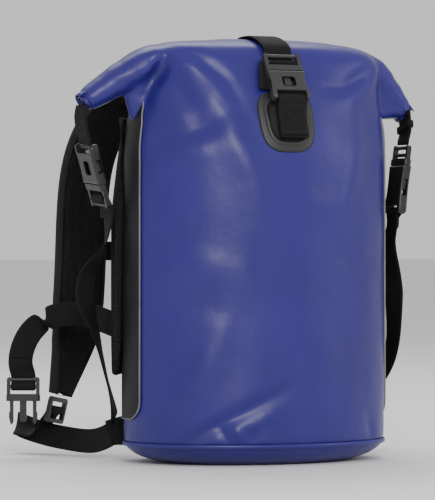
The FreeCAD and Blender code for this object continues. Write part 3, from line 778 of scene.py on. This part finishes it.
def level_at(z, column):
    """The skin's level whose height in one column is z."""
    heights = [row[column] for row in smooth_levels]
    i = int(np.searchsorted(heights, z))
    low, high = smooth_levels[i - 1], smooth_levels[i]
    share = (z - low[column]) / (high[column] - low[column])
    return low * (1 - share) + high * share


def back_line(z, front):
    """Points round the back of one level, from the left edge to the right edge."""
    level = level_at(z, SIDE_HEIGHT)
    middle, deep = (level[6] + level[7]) / 2, (level[7] - level[6]) / 2
    starts = []
    for edge in (front, front + RIGHT_EDGE_BACK):
        turned = min(1.0, max(-1.0, (middle - edge) / deep))
        starts.append(math.acos(math.copysign(abs(turned) ** (level[8] / 2), turned)))
    angles = np.linspace(2 * math.pi - starts[0], starts[1], PANEL_POINTS)
    return [skin_point(level, a, PANEL_LIFT) for a in angles]


panel_heights = list(PANEL_FOOT + PANEL_CORNER * (1 - np.cos(np.linspace(0.05, math.pi / 2, 8)))) \
    + list(np.linspace(PANEL_FOOT + PANEL_CORNER + 5, PANEL_TOP, 70))
panel_rows = [back_line(z, panel_front(z)) for z in panel_heights]
panel_mesh = grow([[p * MM for p in row] for row in panel_rows], closed=False)
panel = piece("back_panel_skin", panel_mesh, BACK)
panel_wall = panel.modifiers.new("fabric thickness", "SOLIDIFY")
panel_wall.thickness = PANEL_THICKNESS * MM
panel_wall.offset = 1
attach(panel, "bag")
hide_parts("back_panel")
panel_out = sum((f.normal.dot(Vector((f.center.x, f.center.y, 0))) > 0) for f in panel.data.polygons)
print("panel faces that point outward", panel_out, "of", len(panel.data.polygons))

# %% [markdown]
# The panel's cut edge shows its pale core as a thin line. A narrow strip is laid along the whole edge.

# %% Cut edge of the panel
def edge_strip(name, line, width, thick, finish, body, lift=0.0):
    """A thin strip with a rounded section along a line of points in millimetres."""
    rings = []
    for k, spot in enumerate(line):
        way = (line[min(k + 1, len(line) - 1)] - line[max(k - 1, 0)]).normalized()
        out = Vector((spot.x / 138 ** 2, spot.y / 94 ** 2, 0)).normalized()
        side = way.cross(out).normalized()
        out = side.cross(way)
        angles = [2 * math.pi * j / 8 for j in range(8)]
        rings.append([(spot + side * math.cos(a) * width / 2 + out * (lift + math.sin(a) * thick / 2)) * MM
                      for a in angles])
    made = piece(name, grow(rings), finish)
    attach(made, body)
    return made


left_edge = [row[0] for row in panel_rows][::-1]
right_edge = [row[-1] for row in panel_rows]
foot_edge = panel_rows[0][1:-1]
edge_strip("panel_cut_edge", left_edge + foot_edge + right_edge, 1.3, 2.2, CUT_EDGE, "bag", 1.0)

# %% [markdown]
# ### Padded pieces
# Foam pads swell between their seams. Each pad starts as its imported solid, wrapped in an even mesh. Cloth with a
# little air pressure swells it, a cap keeps every point near its start, and the result is kept as plain mesh.

# %% Blow up a pad
def positions(mesh):
    co = np.empty(len(mesh.vertices) * 3)
    mesh.vertices.foreach_get("co", co)
    return co.reshape(-1, 3)


AIR_PRESSURE, AIR_FRAMES = 4.0, 20


def padded_piece(name, cad_node, voxel, cap, body, shape=None):
    """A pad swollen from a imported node, with at most cap millimetres of movement."""
    made = bpy.data.objects.new(name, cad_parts[cad_node].data.copy())
    bpy.context.scene.collection.objects.link(made)
    made.data.materials.clear()
    made.data.materials.append(MESH)
    remeshed(made, voxel * MM)
    smoothed(made, 2)
    air = made.modifiers.new("air", "CLOTH")
    air.settings.use_pressure = True
    air.settings.uniform_pressure_force = AIR_PRESSURE
    air.settings.effector_weights.gravity = 0
    air.settings.quality = 4
    for number in range(1, AIR_FRAMES + 1):
        bpy.context.scene.frame_set(number)
    graph = bpy.context.evaluated_depsgraph_get()
    swollen = positions(made.evaluated_get(graph).data)
    made.modifiers.remove(air)
    bpy.context.scene.frame_set(1)
    start = positions(made.data)
    move = swollen - start
    length = np.linalg.norm(move, axis=1, keepdims=True)
    move *= np.minimum(1.0, cap * MM / np.maximum(length, 1e-9))
    made.data.vertices.foreach_set("co", (start + move).astype(np.float32).ravel())
    bm = bmesh.new()
    bm.from_mesh(made.data)
    bmesh.ops.subdivide_edges(bm, edges=bm.edges, cuts=1, use_grid_fill=True, smooth=0.0)
    bmesh.ops.smooth_vert(bm, verts=bm.verts, factor=0.5, use_axis_x=True, use_axis_y=True, use_axis_z=True)
    bm.to_mesh(made.data)
    bm.free()
    if shape is not None:
        co = positions(made.data) * 1000
        made.data.vertices.foreach_set("co", (shape(co) * MM).astype(np.float32).ravel())
    soft_shading(made)
    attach(made, body)
    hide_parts(cad_node)
    print(name, len(made.data.polygons), "faces")
    return made


def back_channels(co):
    """Presses the sewn channels into the back pad: one down the middle and two across each side."""
    x, y, z = co.T
    thin_top = 8.0 * step_up(z, 236, 336)
    depth = 5.0 * np.exp(-(x / 7.5) ** 2) * step_up(z, 92, 112) * (1 - step_up(z, 322, 342))
    for centre in (150, 215, 280):
        depth = np.maximum(depth, 4.0 * np.exp(-((z - centre - 0.10 * np.abs(x)) / 4.2) ** 2)
                           * step_up(np.abs(x), 12, 20) * (1 - step_up(np.abs(x), 112, 128)))
    outer = step_up((x / 138) ** 2 + (y / 94) ** 2, 1.06, 1.16)
    depth = np.maximum(depth * (1 - 0.6 * step_up(z, 300, 340)), thin_top)
    inward = np.stack([-x / 138 ** 2, -y / 94 ** 2, 0 * z], axis=1)
    inward /= np.linalg.norm(inward, axis=1, keepdims=True)
    return co + inward * (depth * outer)[:, None]


padded_piece("back_pad_cover", "back_pad", 4.0, 2.5, "bag", back_channels)
padded_piece("yoke_cover", "shoulder_yoke", 3.0, 1.2, "bag")
for hand in ("left", "right"):
    padded_piece(hand + "_pad_cover", hand + "_shoulder_pad", 3.6, 1.8, hand + "_shoulder")

# %% [markdown]
# The pads' edges are bound with folded tape. The tape follows the pad's own edge line, as a slim rounded strip
# that covers the edge on both faces.

# %% Binding of the shoulder pads
def turn(degrees):
    return Vector((math.cos(math.radians(degrees)), math.sin(math.radians(degrees)), 0))


def other_side(vector):
    return Vector((-vector[0], vector[1], vector[2]))


PAD_POINTS = [(-60, 84, 368), (-70, 102, 379), (-91, 125, 373), (-112, 140, 347), (-127, 148, 307),
              (-132, 150.8, 270), (-135, 150, 215), (-138, 149.2, 160), (-142, 153, 117), (-148.5, 156.3, 88),
              (-155, 158, 62)]
PAD_TURNS = [0, 4, 10, 15, 15, 15, 15, 15, 20, 30, 40]
PAD_WIDTHS = [58.0] * 8 + [52.0, 42.0, 32.0]
pad_stations = stations_of(PAD_POINTS, [turn(a) for a in PAD_TURNS], PAD_WIDTHS)


BINDING_INSET, BINDING_ACROSS, BINDING_DEEP, BINDING_POINTS = 1.6, 3.1, 6.1, 12


def as_is(vector):
    return vector


def binding(name, hand, body):
    """Tape down one edge of a pad and up the other, on the left or mirrored to the right."""
    rings, weave, run, before = [], [], 0.0, None
    for sign, stations in ((-1, pad_stations), (1, pad_stations[::-1])):
        for spot, _, side, out, wide, _ in stations:
            edge = spot + side * sign * (wide / 2 - BINDING_INSET)
            run += (edge - before).length if before is not None else 0.0
            before = edge
            angles = [2 * math.pi * k / BINDING_POINTS for k in range(BINDING_POINTS)]
            rings.append([hand(edge + side * sign * (math.cos(a) * BINDING_ACROSS)
                               + out * (math.sin(a) * BINDING_DEEP)) * MM for a in angles])
            weave.append([(math.sin(a) * BINDING_DEEP * MM, run * MM) for a in angles])
    made = piece(name, grow(rings, weave=weave), BINDING)
    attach(made, body)
    print(name, round(run), "mm of tape")


binding("left_pad_binding", as_is, "left_shoulder")
binding("right_pad_binding", other_side, "right_shoulder")

# %% [markdown]
# ## The front patch
# A moulded patch is welded to the front and holds the buckle's tab. It has a rounded outline, a thin rim, and a
# raised ring. Its outline shrinks ring by ring while its height follows the mould's profile.

# %% Lash patch
PATCH_TOP, PATCH_BOTTOM = 372.0, 310.5
PATCH_PROFILE = [(0.0, 0.0), (0.2, 1.1), (1.0, 2.0), (2.2, 2.4), (4.6, 2.2), (5.6, 2.5), (6.6, 4.0), (7.8, 4.6),
                 (9.0, 4.4), (10.0, 3.4), (10.6, 2.0), (12.5, 1.7), (20.0, 1.6), (26.0, 1.6)]


def patch_outline(inset, points=96):
    """A rounded, slightly tapered outline, in across and height."""
    half_tall, middle = (PATCH_TOP - PATCH_BOTTOM) / 2, (PATCH_TOP + PATCH_BOTTOM) / 2
    ring = []
    for k in range(points):
        angle = 2 * math.pi * k / points
        c, s = math.cos(angle), math.sin(angle)
        x = math.copysign(abs(c) ** 0.62, c)
        z = math.copysign(abs(s) ** 0.62, s)
        half_wide = 29.5 + 2.0 * z
        ring.append((x * max(half_wide - inset, 1.0), middle + z * max(half_tall - inset, 1.0)))
    return ring


def front_of_skin(x, z):
    """The place on the front of the skin at an across and a height, before folds."""
    level = level_at(z, FRONT_HEIGHT)
    half = level[5] if x > 0 else level[4]
    power = level[8]
    deep = (1 - abs(x / half) ** power) ** (1 / power)
    return Vector((x, (level[6] + level[7]) / 2 - deep * (level[7] - level[6]) / 2, z))


def out_of_skin(x, z):
    """Outward direction of the front of the skin."""
    here = front_of_skin(x, z)
    right = front_of_skin(x + 1, z) - here
    up = front_of_skin(x, z + 1) - here
    return right.cross(up).normalized()


patch_rings = []
for inset, height in PATCH_PROFILE:
    patch_rings.append([(front_of_skin(x, z) + out_of_skin(x, z) * (height - 0.3)) * MM
                        for x, z in patch_outline(inset)])
patch = piece("front_patch", grow(patch_rings), RUBBER)
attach(patch, "bag")
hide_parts("lash_patch")
print("patch", len(patch.data.polygons), "outward y", round(out_of_skin(0, 340).y, 2))

# %% [markdown]
# ## Buckles
# The buckles are hard, exact parts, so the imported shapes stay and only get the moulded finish. A table gives each
# one's place, since the straps need the middle of its bars.

# %% Buckle places and the moulded finish
X_AXIS, Y_AXIS, Z_AXIS = Vector((1, 0, 0)), Vector((0, 1, 0)), Vector((0, 0, 1))
BUCKLES = {
    "front": (30, 33, 22, (2.5, -71, 391), X_AXIS, (0, 0.528, 0.849)),
    "left": (25, 41, 25, (-168, 11.5, 281), Vector((-0.12, 0.99, 0)), (0.304, 0.137, -0.943)),
    "right": (25, 50, 21, (157, -15, 301), Y_AXIS, (0.13, 0, 0.991)),
    "sternum": (20, 32, 23, (-4, 164, 213), Z_AXIS, (1, 0, 0)),
    "waist_left": (25, 0, 25, (-207, 124, 58), Vector((0.927, -0.375, 0)), (0, 0, 1)),
    "waist_right": (25, 40, 0, (141, 119, 52), X_AXIS, (0, 0, -1)),
}
BAR_RADIUS, INNER_BAR, END_BAR = 2.0, 10.0, 2.6


def pull_of(name):
    return Vector(BUCKLES[name][5]).normalized()


def side_of(name):
    pull, across = pull_of(name), BUCKLES[name][4]
    return (across - pull * across.dot(pull)).normalized()


def out_of(name):
    return side_of(name).cross(pull_of(name))


def socket_bar(name):
    return Vector(BUCKLES[name][3]) - pull_of(name) * (BUCKLES[name][1] - BAR_RADIUS - 1)


def plug_bar(name, from_end=INNER_BAR):
    return Vector(BUCKLES[name][3]) + pull_of(name) * (BUCKLES[name][2] - from_end)


MOULDED = ("buckle_female", "buckle_male", "prong", "lock", "slider")
moulded_nodes = [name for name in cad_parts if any(kind in name for kind in MOULDED)]


def refinish(name, finish):
    """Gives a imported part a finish, and leaves its mesh alone."""
    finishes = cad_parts[name].data.materials
    finishes.clear()
    finishes.append(finish)


# Front buckles take the lighter copy of the plastic, a painted highlight; the other buckles take the plain plastic.
for name in moulded_nodes:
    refinish(name, FRONT_PLASTIC_PAINTED_HIGHLIGHT if name.startswith("front") else PLASTIC)
refinish("mouth_stiffener", STIFFENER)
print("moulded parts", len(moulded_nodes))

# %% [markdown]
# ## Straps
# Every strap is laid through the same points as its imported solid. Straps on one body ride on it. A strap that is
# held by two bodies is attached to neither, and stays where it is laid.
#
# The front has three: the tab sewn to the patch, the strap over the roll, and that strap's loose end. The tab
# could be a flat plate, but sewn back on itself it shows its two layers at the lower end, as the real one does.

# %% Front straps
bar = socket_bar("front")
tab_route = [bar - out_of("front") * LOOP_MIDDLE, (2.5, -87.7, 354), (2.5, -89.9, 344), (2.5, -93.9, 332),
             (2.5, -96.3, 325)]
route, sides = wrapped(bar, pull_of("front"), out_of("front"), tab_route, X_AXIS, 38.0)
webbing("front_tab", route, sides, 30.0, "bag", ["front_buckle_tab"])

bar = plug_bar("front")
first = bar - out_of("front") * LOOP_MIDDLE
top_route = [first, first + pull_of("front") * 10 - out_of("front") * 2.6, (2.2, -51.5, 416), (1, -42, 423.5),
             (-0.5, -28, 428.6), (-2, -8, 430.2), (-2, 8, 428.2), (-2, 22, 421), (-2, 34, 409.5), (-2, 48, 398),
             (-2, 64, 387), (-2, 79, 374)]
turned = [bar + (out_of("front") * math.cos(a) - pull_of("front") * math.sin(a)) * LOOP_MIDDLE
          for a in (0.1, math.pi * 0.3, math.pi * 0.5, math.pi * 0.75)]
webbing("roll_strap", turned + top_route, X_AXIS, 30.0, None, ["top_strap"],
        bends=("bag", "front_male", (0, -20, 429), (2.5, -61, 402)))
tail_route = [(-4.5, -60.2, 399.6), (-7, -64.0, 394), (-9, -68.8, 387.2), (-11, -73.6, 379.4), (-12, -77, 373)]
webbing("roll_strap_tail", tail_route, Vector((0.97, -0.10, -0.18)), 30.0, "front_male", ["top_strap_tail"])

# %% [markdown]
# The side straps pull the roll's two ears down to the foot of the bag. The left one turns as it drops, so its
# across direction changes from point to point. A doubled tab joins each ear to its buckle.

# %% Side straps
bar, pull = socket_bar("left"), pull_of("left")
left_tab = [bar - pull * LOOP_MIDDLE, (-183, 4.5, 328), (-186, 3, 338), (-187, 2, 349), (-185, 2, 358)]
webbing("left_ear_tab", left_tab, side_of("left"), 25.0, "bag", ["left_side_tab"], thickness=3.0)
bar = plug_bar("left")
first = bar - out_of("left") * LOOP_MIDDLE
left_route = [first, first + pull * 10 - out_of("left") * 2.6, (-152.5, 19, 238), (-154, 21, 222), (-163, 24, 204),
              (-172, 26, 184), (-172, 28, 162), (-164, 30, 140), (-154, 35, 110), (-144, 41, 78), (-136, 50, 56),
              (-131, 59, 41)]
left_turns = [turn(a) for a in (97, 94, 86, 72, 44, 17, 20, 48, 62, 68, 62, 55)]
route, sides = wrapped(bar, -pull, out_of("left"), left_route, left_turns, 26.0)
webbing("left_side_webbing", route, sides, 25.0, None, ["left_lower_strap"],
        bends=("bag", "left_male", (-172, 26, 184), tuple(bar)))

bar, pull = plug_bar("right", END_BAR), pull_of("right")
right_tab = [bar + pull * LOOP_MIDDLE, bar + pull * 8, (163, -14.4, 336), (164, -12, 345), (165, -8, 354)]
webbing("right_ear_tab", right_tab, Y_AXIS, 25.0, "bag", ["right_side_tab"], thickness=3.0)
webbing("right_ear_collar", [(163, -13.8, 338), (163.4, -12.8, 341), (163.8, -11.8, 344)], Y_AXIS, 28.5, "bag",
        thickness=7.0)
bar = socket_bar("right")
right_route = [bar - out_of("right") * LOOP_MIDDLE, bar - out_of("right") * 2.0 - pull * 10,
               (145.5, -14, 225), (148, -13, 200), (151, -12, 172), (152, -10, 145), (153, -3, 115),
               (150.5, 16, 86), (142, 38, 62), (131, 59, 41)]
right_turns = [turn(a) for a in (90, 90, 92, 100, 112, 104, 95, 92, 110, 125)]
route, sides = wrapped(bar, pull, out_of("right"), right_route, right_turns, 18.0)
webbing("right_side_webbing", route, sides, 25.0, None, ["right_lower_strap"],
        bends=("bag", "right_female", (151, -12, 172), tuple(bar)))

# %% [markdown]
# The sternum strap joins the shoulder pads over the chest. Each end turns round a slider that climbs a narrow
# rail, which is webbing sewn to the pad at both ends and lifted between them so that the slider can pass.

# %% Sternum strap
RAIL_STAND, RAIL_END, CHEST_Z, CHEST_Y = 5.0, 1.3, 213.0, 164.0
RAIL_RAMP = (RAIL_STAND + RAIL_END) / 2
pad_across = turn(15)
pad_out = Vector((-pad_across.y, pad_across.x, 0))
rail_foot = Vector((-135, 150, 0)) + pad_across * 9 + pad_out * 5
RAIL_ROUTE = [(270, RAIL_END), (263.5, RAIL_RAMP), (257, RAIL_STAND), (249, RAIL_STAND), (231, RAIL_STAND),
              (213, RAIL_STAND), (195, RAIL_STAND), (177, RAIL_STAND), (169, RAIL_STAND), (162.5, RAIL_RAMP),
              (156, RAIL_END)]
rail_points = [rail_foot + pad_out * stand + Z_AXIS * z for z, stand in RAIL_ROUTE]
rail_points = [rail_points[0] + Z_AXIS * 14 - pad_out * 0.3] + rail_points \
    + [rail_points[-1] - Z_AXIS * 14 + pad_out * 0.5]
webbing("left_chest_rail", rail_points, pad_across, 12.0, "left_shoulder", ["left_sternum_rail"], wobble=0.05)
webbing("right_chest_rail", [other_side(p) for p in rail_points], other_side(pad_across), 12.0, "right_shoulder",
        ["right_sternum_rail"], wobble=0.05)
slider_side = rail_foot + pad_out * RAIL_STAND + pad_across * 14 + Z_AXIS * CHEST_Z
bar = socket_bar("sternum")
chest_left = [slider_side - pad_across * LOOP_MIDDLE, slider_side + pad_out * LOOP_MIDDLE,
              slider_side + pad_across * 9 + pad_out * 1.6, (-98, CHEST_Y + 4.5, CHEST_Z),
              (-80, CHEST_Y + 3, CHEST_Z), (-56, CHEST_Y - 1, CHEST_Z), bar - out_of("sternum") * LOOP_MIDDLE]
route, sides = wrapped(bar, pull_of("sternum"), out_of("sternum"), chest_left[::-1], Z_AXIS, 18.0)
webbing("left_chest_webbing", route, sides, 20.0, "sternum_left", ["sternum_webbing_left"])
bar = plug_bar("sternum")
first = bar - out_of("sternum") * LOOP_MIDDLE
right_eye = other_side(slider_side)
chest_right = [first, first + X_AXIS * 10 - out_of("sternum") * 2.6, (45, CHEST_Y - 3.5, CHEST_Z),
               (72, CHEST_Y + 1.5, CHEST_Z), (98, CHEST_Y + 4.5, CHEST_Z),
               right_eye + other_side(pad_across) * 9 + other_side(pad_out) * 1.6,
               right_eye + other_side(pad_out) * LOOP_MIDDLE, right_eye - other_side(pad_across) * LOOP_MIDDLE]
route, sides = wrapped(bar, -X_AXIS, out_of("sternum"), chest_right, Z_AXIS, 24.0)
webbing("right_chest_webbing", route, sides, 20.0, None, ["sternum_webbing_right"],
        bends=("sternum_right", "sternum_male", (72, CHEST_Y, CHEST_Z), tuple(bar)))

# %% [markdown]
# Each shoulder pad ends at a ladder lock. The webbing from the bag's lower corner loops up to its bar, so the
# strap can be made shorter. The left one hangs in a loose bend, and the right one lies nearly straight.

# %% Lower webbing of the shoulder straps
LOCK_ORIGIN, lock_pull = Vector((-156.4, 158.2, 59.4)), Vector((-0.22, 0.03, -0.975)).normalized()
lock_side = (turn(40) - lock_pull * turn(40).dot(lock_pull)).normalized()
lock_out = lock_side.cross(lock_pull)
lock_bar = LOCK_ORIGIN + lock_pull * 13
lock_last = lock_bar + lock_out * LOOP_MIDDLE
lock_next = lock_last + lock_pull * 13 + lock_out * 5.5
low_left = [(-129.5, 73, 25), (-134, 92, 19), (-140, 125, 15.5), (-151, 158, 17), (-166, 184, 21),
            (-181, 197, 27), (-191, 193, 31), (-189, 181, 29), (-181, 173, 24), lock_next, lock_last]
low_sides = [Z_AXIS] * 5 + [Vector((0.05, 0.05, 1)), Vector((0.2, 0.2, 0.95)), Vector((0.5, 0.4, 0.7)),
                            Vector((0.7, 0.6, 0.35)), lock_side, lock_side]
route, sides = wrapped(lock_bar, -lock_pull, -lock_out, low_left[::-1], low_sides[::-1], 14.0)
webbing("left_lower_web", route, sides, 25.0, None, ["left_lower_webbing"],
        bends=("bag", "left_shoulder", (-140, 125, 15.5), tuple(lock_last)))
low_right = [(129.5, 73, 25), (135, 92, 19), (144, 120, 16), (155, 143, 17), (164, 158, 20),
             other_side(lock_next), other_side(lock_last)]
low_right_sides = [Z_AXIS, Z_AXIS, Vector((-0.1, 0, 1)), Vector((-0.3, 0.2, 0.8)), Vector((-0.6, 0.5, 0.4)),
                   other_side(lock_side), other_side(lock_side)]
route, sides = wrapped(other_side(lock_bar), -other_side(lock_pull), -other_side(lock_out), low_right[::-1],
                       low_right_sides[::-1], 14.0)
webbing("right_lower_web", route, sides, 25.0, None, ["right_lower_webbing"],
        bends=("bag", "right_shoulder", (144, 120, 16), tuple(other_side(lock_last))))
anchor_route = [(-107.5, 62.5, 30), (-118, 66.5, 29), (-128.5, 72.3, 27), (-131.5, 74.2, 26)]
for name, hand in (("left", as_is), ("right", other_side)):
    webbing(name + "_anchor", [hand(p) for p in anchor_route], Z_AXIS, [34.0, 30.0, 27.0, 26.5], "bag",
            [name + "_harness_anchor"], thickness=2.4)

# %% [markdown]
# The waist belt's two halves hang open. The left one turns over as it falls, and ends at a plug. The haul loop
# is a short strap bent into an arch over the yoke, sewn at both feet.

# %% Waist belt and haul loop
waist_side = side_of("waist_left")
bar = plug_bar("waist_left")
first = bar - out_of("waist_left") * LOOP_MIDDLE
waist_route = [(-125.5, 63, 136), (-135, 73, 141), (-150, 86, 147), (-170, 99, 148), (-188, 110, 142),
               (-201, 120, 128), (-207.5, 126.5, 110), (-208, 128.5, 94),
               first + pull_of("waist_left") * 10 - out_of("waist_left") * 2.6, first]
waist_sides = [Z_AXIS, Vector((0.1, -0.1, 1)), Vector((0.3, -0.2, 0.9)), Vector((0.5, -0.3, 0.75)),
               Vector((0.75, -0.4, 0.45)), Vector((0.9, -0.38, 0.15))] + [waist_side] * 4
route, sides = wrapped(bar, -pull_of("waist_left"), out_of("waist_left"), waist_route[::-1], waist_sides[::-1], 30.0)
webbing("left_waist_web", route, sides, 25.0, "waist_left", ["waist_webbing_left"])
bar = socket_bar("waist_right")
right_waist = [(125.5, 63, 136), (134, 76, 138.5), (142, 92, 139), (146.5, 106, 133), (145, 115, 121),
               (142.3, 118.6, 108), (141, 119, 98), bar + Z_AXIS * LOOP_MIDDLE]
right_waist_sides = [Z_AXIS, Vector((-0.1, 0.05, 1)), Vector((-0.4, 0, 0.8)), Vector((-0.8, 0, 0.5)),
                     Vector((-1, 0, 0.15))] + [-X_AXIS] * 3
webbing("right_waist_web", right_waist, right_waist_sides, 25.0, "waist_right", ["waist_webbing_right"],
        thickness=3.0)

haul = [(-19, 91, 370), (-19, 91, 385), (-19, 91, 401), (-14, 91, 412), (0, 91, 416), (14, 91, 412), (19, 91, 401),
        (19, 91, 385), (19, 91, 370)]
webbing("haul_web", haul, Y_AXIS, 22.0, "haul", ["haul_loop"], thickness=2.2)

# %% [markdown]
# ## Stitching
# Straps that carry load are sewn down with a box and a cross. Each stitch is a tiny stretched ball of thread, set
# along the strap's own stations, so the box follows the strap's bend.

# %% Sew boxes with crosses
STITCH_PITCH, STITCH_LIFT, STITCH_INSET = 3.0, 0.25, 2.6
STITCH_SHAPE = (1.15 * MM, 0.42 * MM, 0.36 * MM, 1)


def stitch_line(bm, points, out):
    """Stitches along a line of points in millimetres."""
    for start, stop in zip(points, points[1:]):
        run = stop - start
        count = max(1, round(run.length / STITCH_PITCH))
        turned = Matrix((run.normalized(), out.cross(run).normalized(), out)).transposed().to_4x4()
        for k in range(count):
            place = Matrix.Translation((start + run * ((k + 0.5) / count)) * MM)
            shape = Matrix.Diagonal(STITCH_SHAPE)
            bmesh.ops.create_icosphere(bm, subdivisions=1, radius=1.0, matrix=place @ turned @ shape)


def sewn_box(bm, strap, start, stop, seen, thickness=WEB):
    """A box with a cross between two places along a strap, on the side that faces the seen direction."""
    last = LAID[strap][-1][5]
    start, stop = (p if p >= 0 else last + p for p in (start, stop))
    rows = [s for s in LAID[strap] if start - 1.3 <= s[5] <= stop + 1.3]
    edges, ups = [[], []], []
    for spot, way, side, out, width, place in rows[::3] + [rows[-1]]:
        up = out if out.dot(Vector(seen)) > 0 else -out
        ups.append(up)
        for line, sign in zip(edges, (-1, 1)):
            line.append(spot + up * (thickness / 2 + STITCH_LIFT) + side * sign * (width / 2 - STITCH_INSET))
    for line in edges:
        stitch_line(bm, [p for i, p in enumerate(line) if i == 0 or (p - line[i - 1]).length > 1], ups[0])
    (a, *_, c), (b, *_, d) = edges
    for line in ([a, b], [c, d], [a, d], [b, c]):
        stitch_line(bm, line, ups[0])


def sewing(name, body, boxes):
    bm = bmesh.new()
    for box in boxes:
        sewn_box(bm, *box)
    made = piece(name, bm, THREAD)
    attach(made, body)
    print(name, len(made.data.polygons))


sewing("bag_stitching", "bag", [
    ("front_tab", 2, 30, (0, -1, 0.3)), ("left_ear_tab", 12, 24, (-1, -0.4, 0), 3.0),
    ("right_ear_tab", 7, 14, (1, 0, 0), 3.0), ("left_anchor", 2, 17, (-0.5, 1, 0), 2.4),
    ("right_anchor", 2, 17, (0.5, 1, 0), 2.4)])
sewing("haul_stitching", "haul", [("haul_web", 2, 18, (0, 1, 0), 2.2), ("haul_web", -18, -2, (0, 1, 0), 2.2)])
sewing("left_shoulder_stitching", "left_shoulder", [
    ("left_chest_rail", 1, 12, pad_out), ("left_chest_rail", -12, -1, pad_out)])
sewing("right_shoulder_stitching", "right_shoulder", [
    ("right_chest_rail", 1, 12, other_side(pad_out)), ("right_chest_rail", -12, -1, other_side(pad_out))])
sewing("left_waist_stitching", "waist_left", [("left_waist_web", -22, -3, (-0.5, 1, 0))])
sewing("right_waist_stitching", "waist_right", [("right_waist_web", 3, 20, (0.5, 1, 0), 3.0)])

# %% [markdown]
# ## The studio
# A large pale floor, a pale sky all round and three soft lights show the bag plainly. The camera stands far off
# with a long lens, at the height of the bag's middle, a little to its left.

# %% Floor, lights and camera
bm = bmesh.new()
bmesh.ops.create_grid(bm, x_segments=1, y_segments=1, size=60)
floor_finish, _, _ = new_finish("floor_finish", (0.78, 0.78, 0.77), 0.9)
floor_mesh = bpy.data.meshes.new("floor")
bm.to_mesh(floor_mesh)
bm.free()
floor = bpy.data.objects.new("floor", floor_mesh)
bpy.context.scene.collection.objects.link(floor)
floor_mesh.materials.append(floor_finish)

world = bpy.data.worlds.new("pale_world")
bpy.context.scene.world = world
world.use_nodes = True
world.node_tree.nodes["Background"].inputs["Color"].default_value = (1.0, 1.0, 1.0, 1)
world.node_tree.nodes["Background"].inputs["Strength"].default_value = 0.78


def soft_light(name, place, aim, size, watts):
    lamp = bpy.data.lights.new(name, "AREA")
    lamp.shape, lamp.size, lamp.size_y, lamp.energy = "RECTANGLE", size[0], size[1], watts
    made = bpy.data.objects.new(name, lamp)
    made.location = place
    made.rotation_euler = (Vector(aim) - Vector(place)).to_track_quat("-Z", "Y").to_euler()
    bpy.context.scene.collection.objects.link(made)


soft_light("window", (-0.9, -2.8, 1.5), (0, 0, 0.25), (0.8, 1.5), 60)
soft_light("side", (2.3, -1.7, 1.3), (0, 0, 0.2), (0.6, 1.8), 16)
soft_light("top", (0.2, 1.4, 2.6), (0, 0, 0.3), (2.0, 1.2), 40)

AIM, CAMERA_PLACE = Vector((-0.0352, 0.0143, 0.214)), Vector((-1.160, -2.767, 0.214))
lens = bpy.data.cameras.new("camera")
lens.lens, lens.sensor_width, lens.clip_end = 212, 36, 200
camera = bpy.data.objects.new("camera", lens)
camera.location = CAMERA_PLACE
camera.rotation_euler = (AIM - CAMERA_PLACE).to_track_quat("-Z", "Y").to_euler()
bpy.context.scene.collection.objects.link(camera)
bpy.context.scene.camera = camera
print("camera", tuple(round(c, 2) for c in CAMERA_PLACE), "lens", lens.lens)
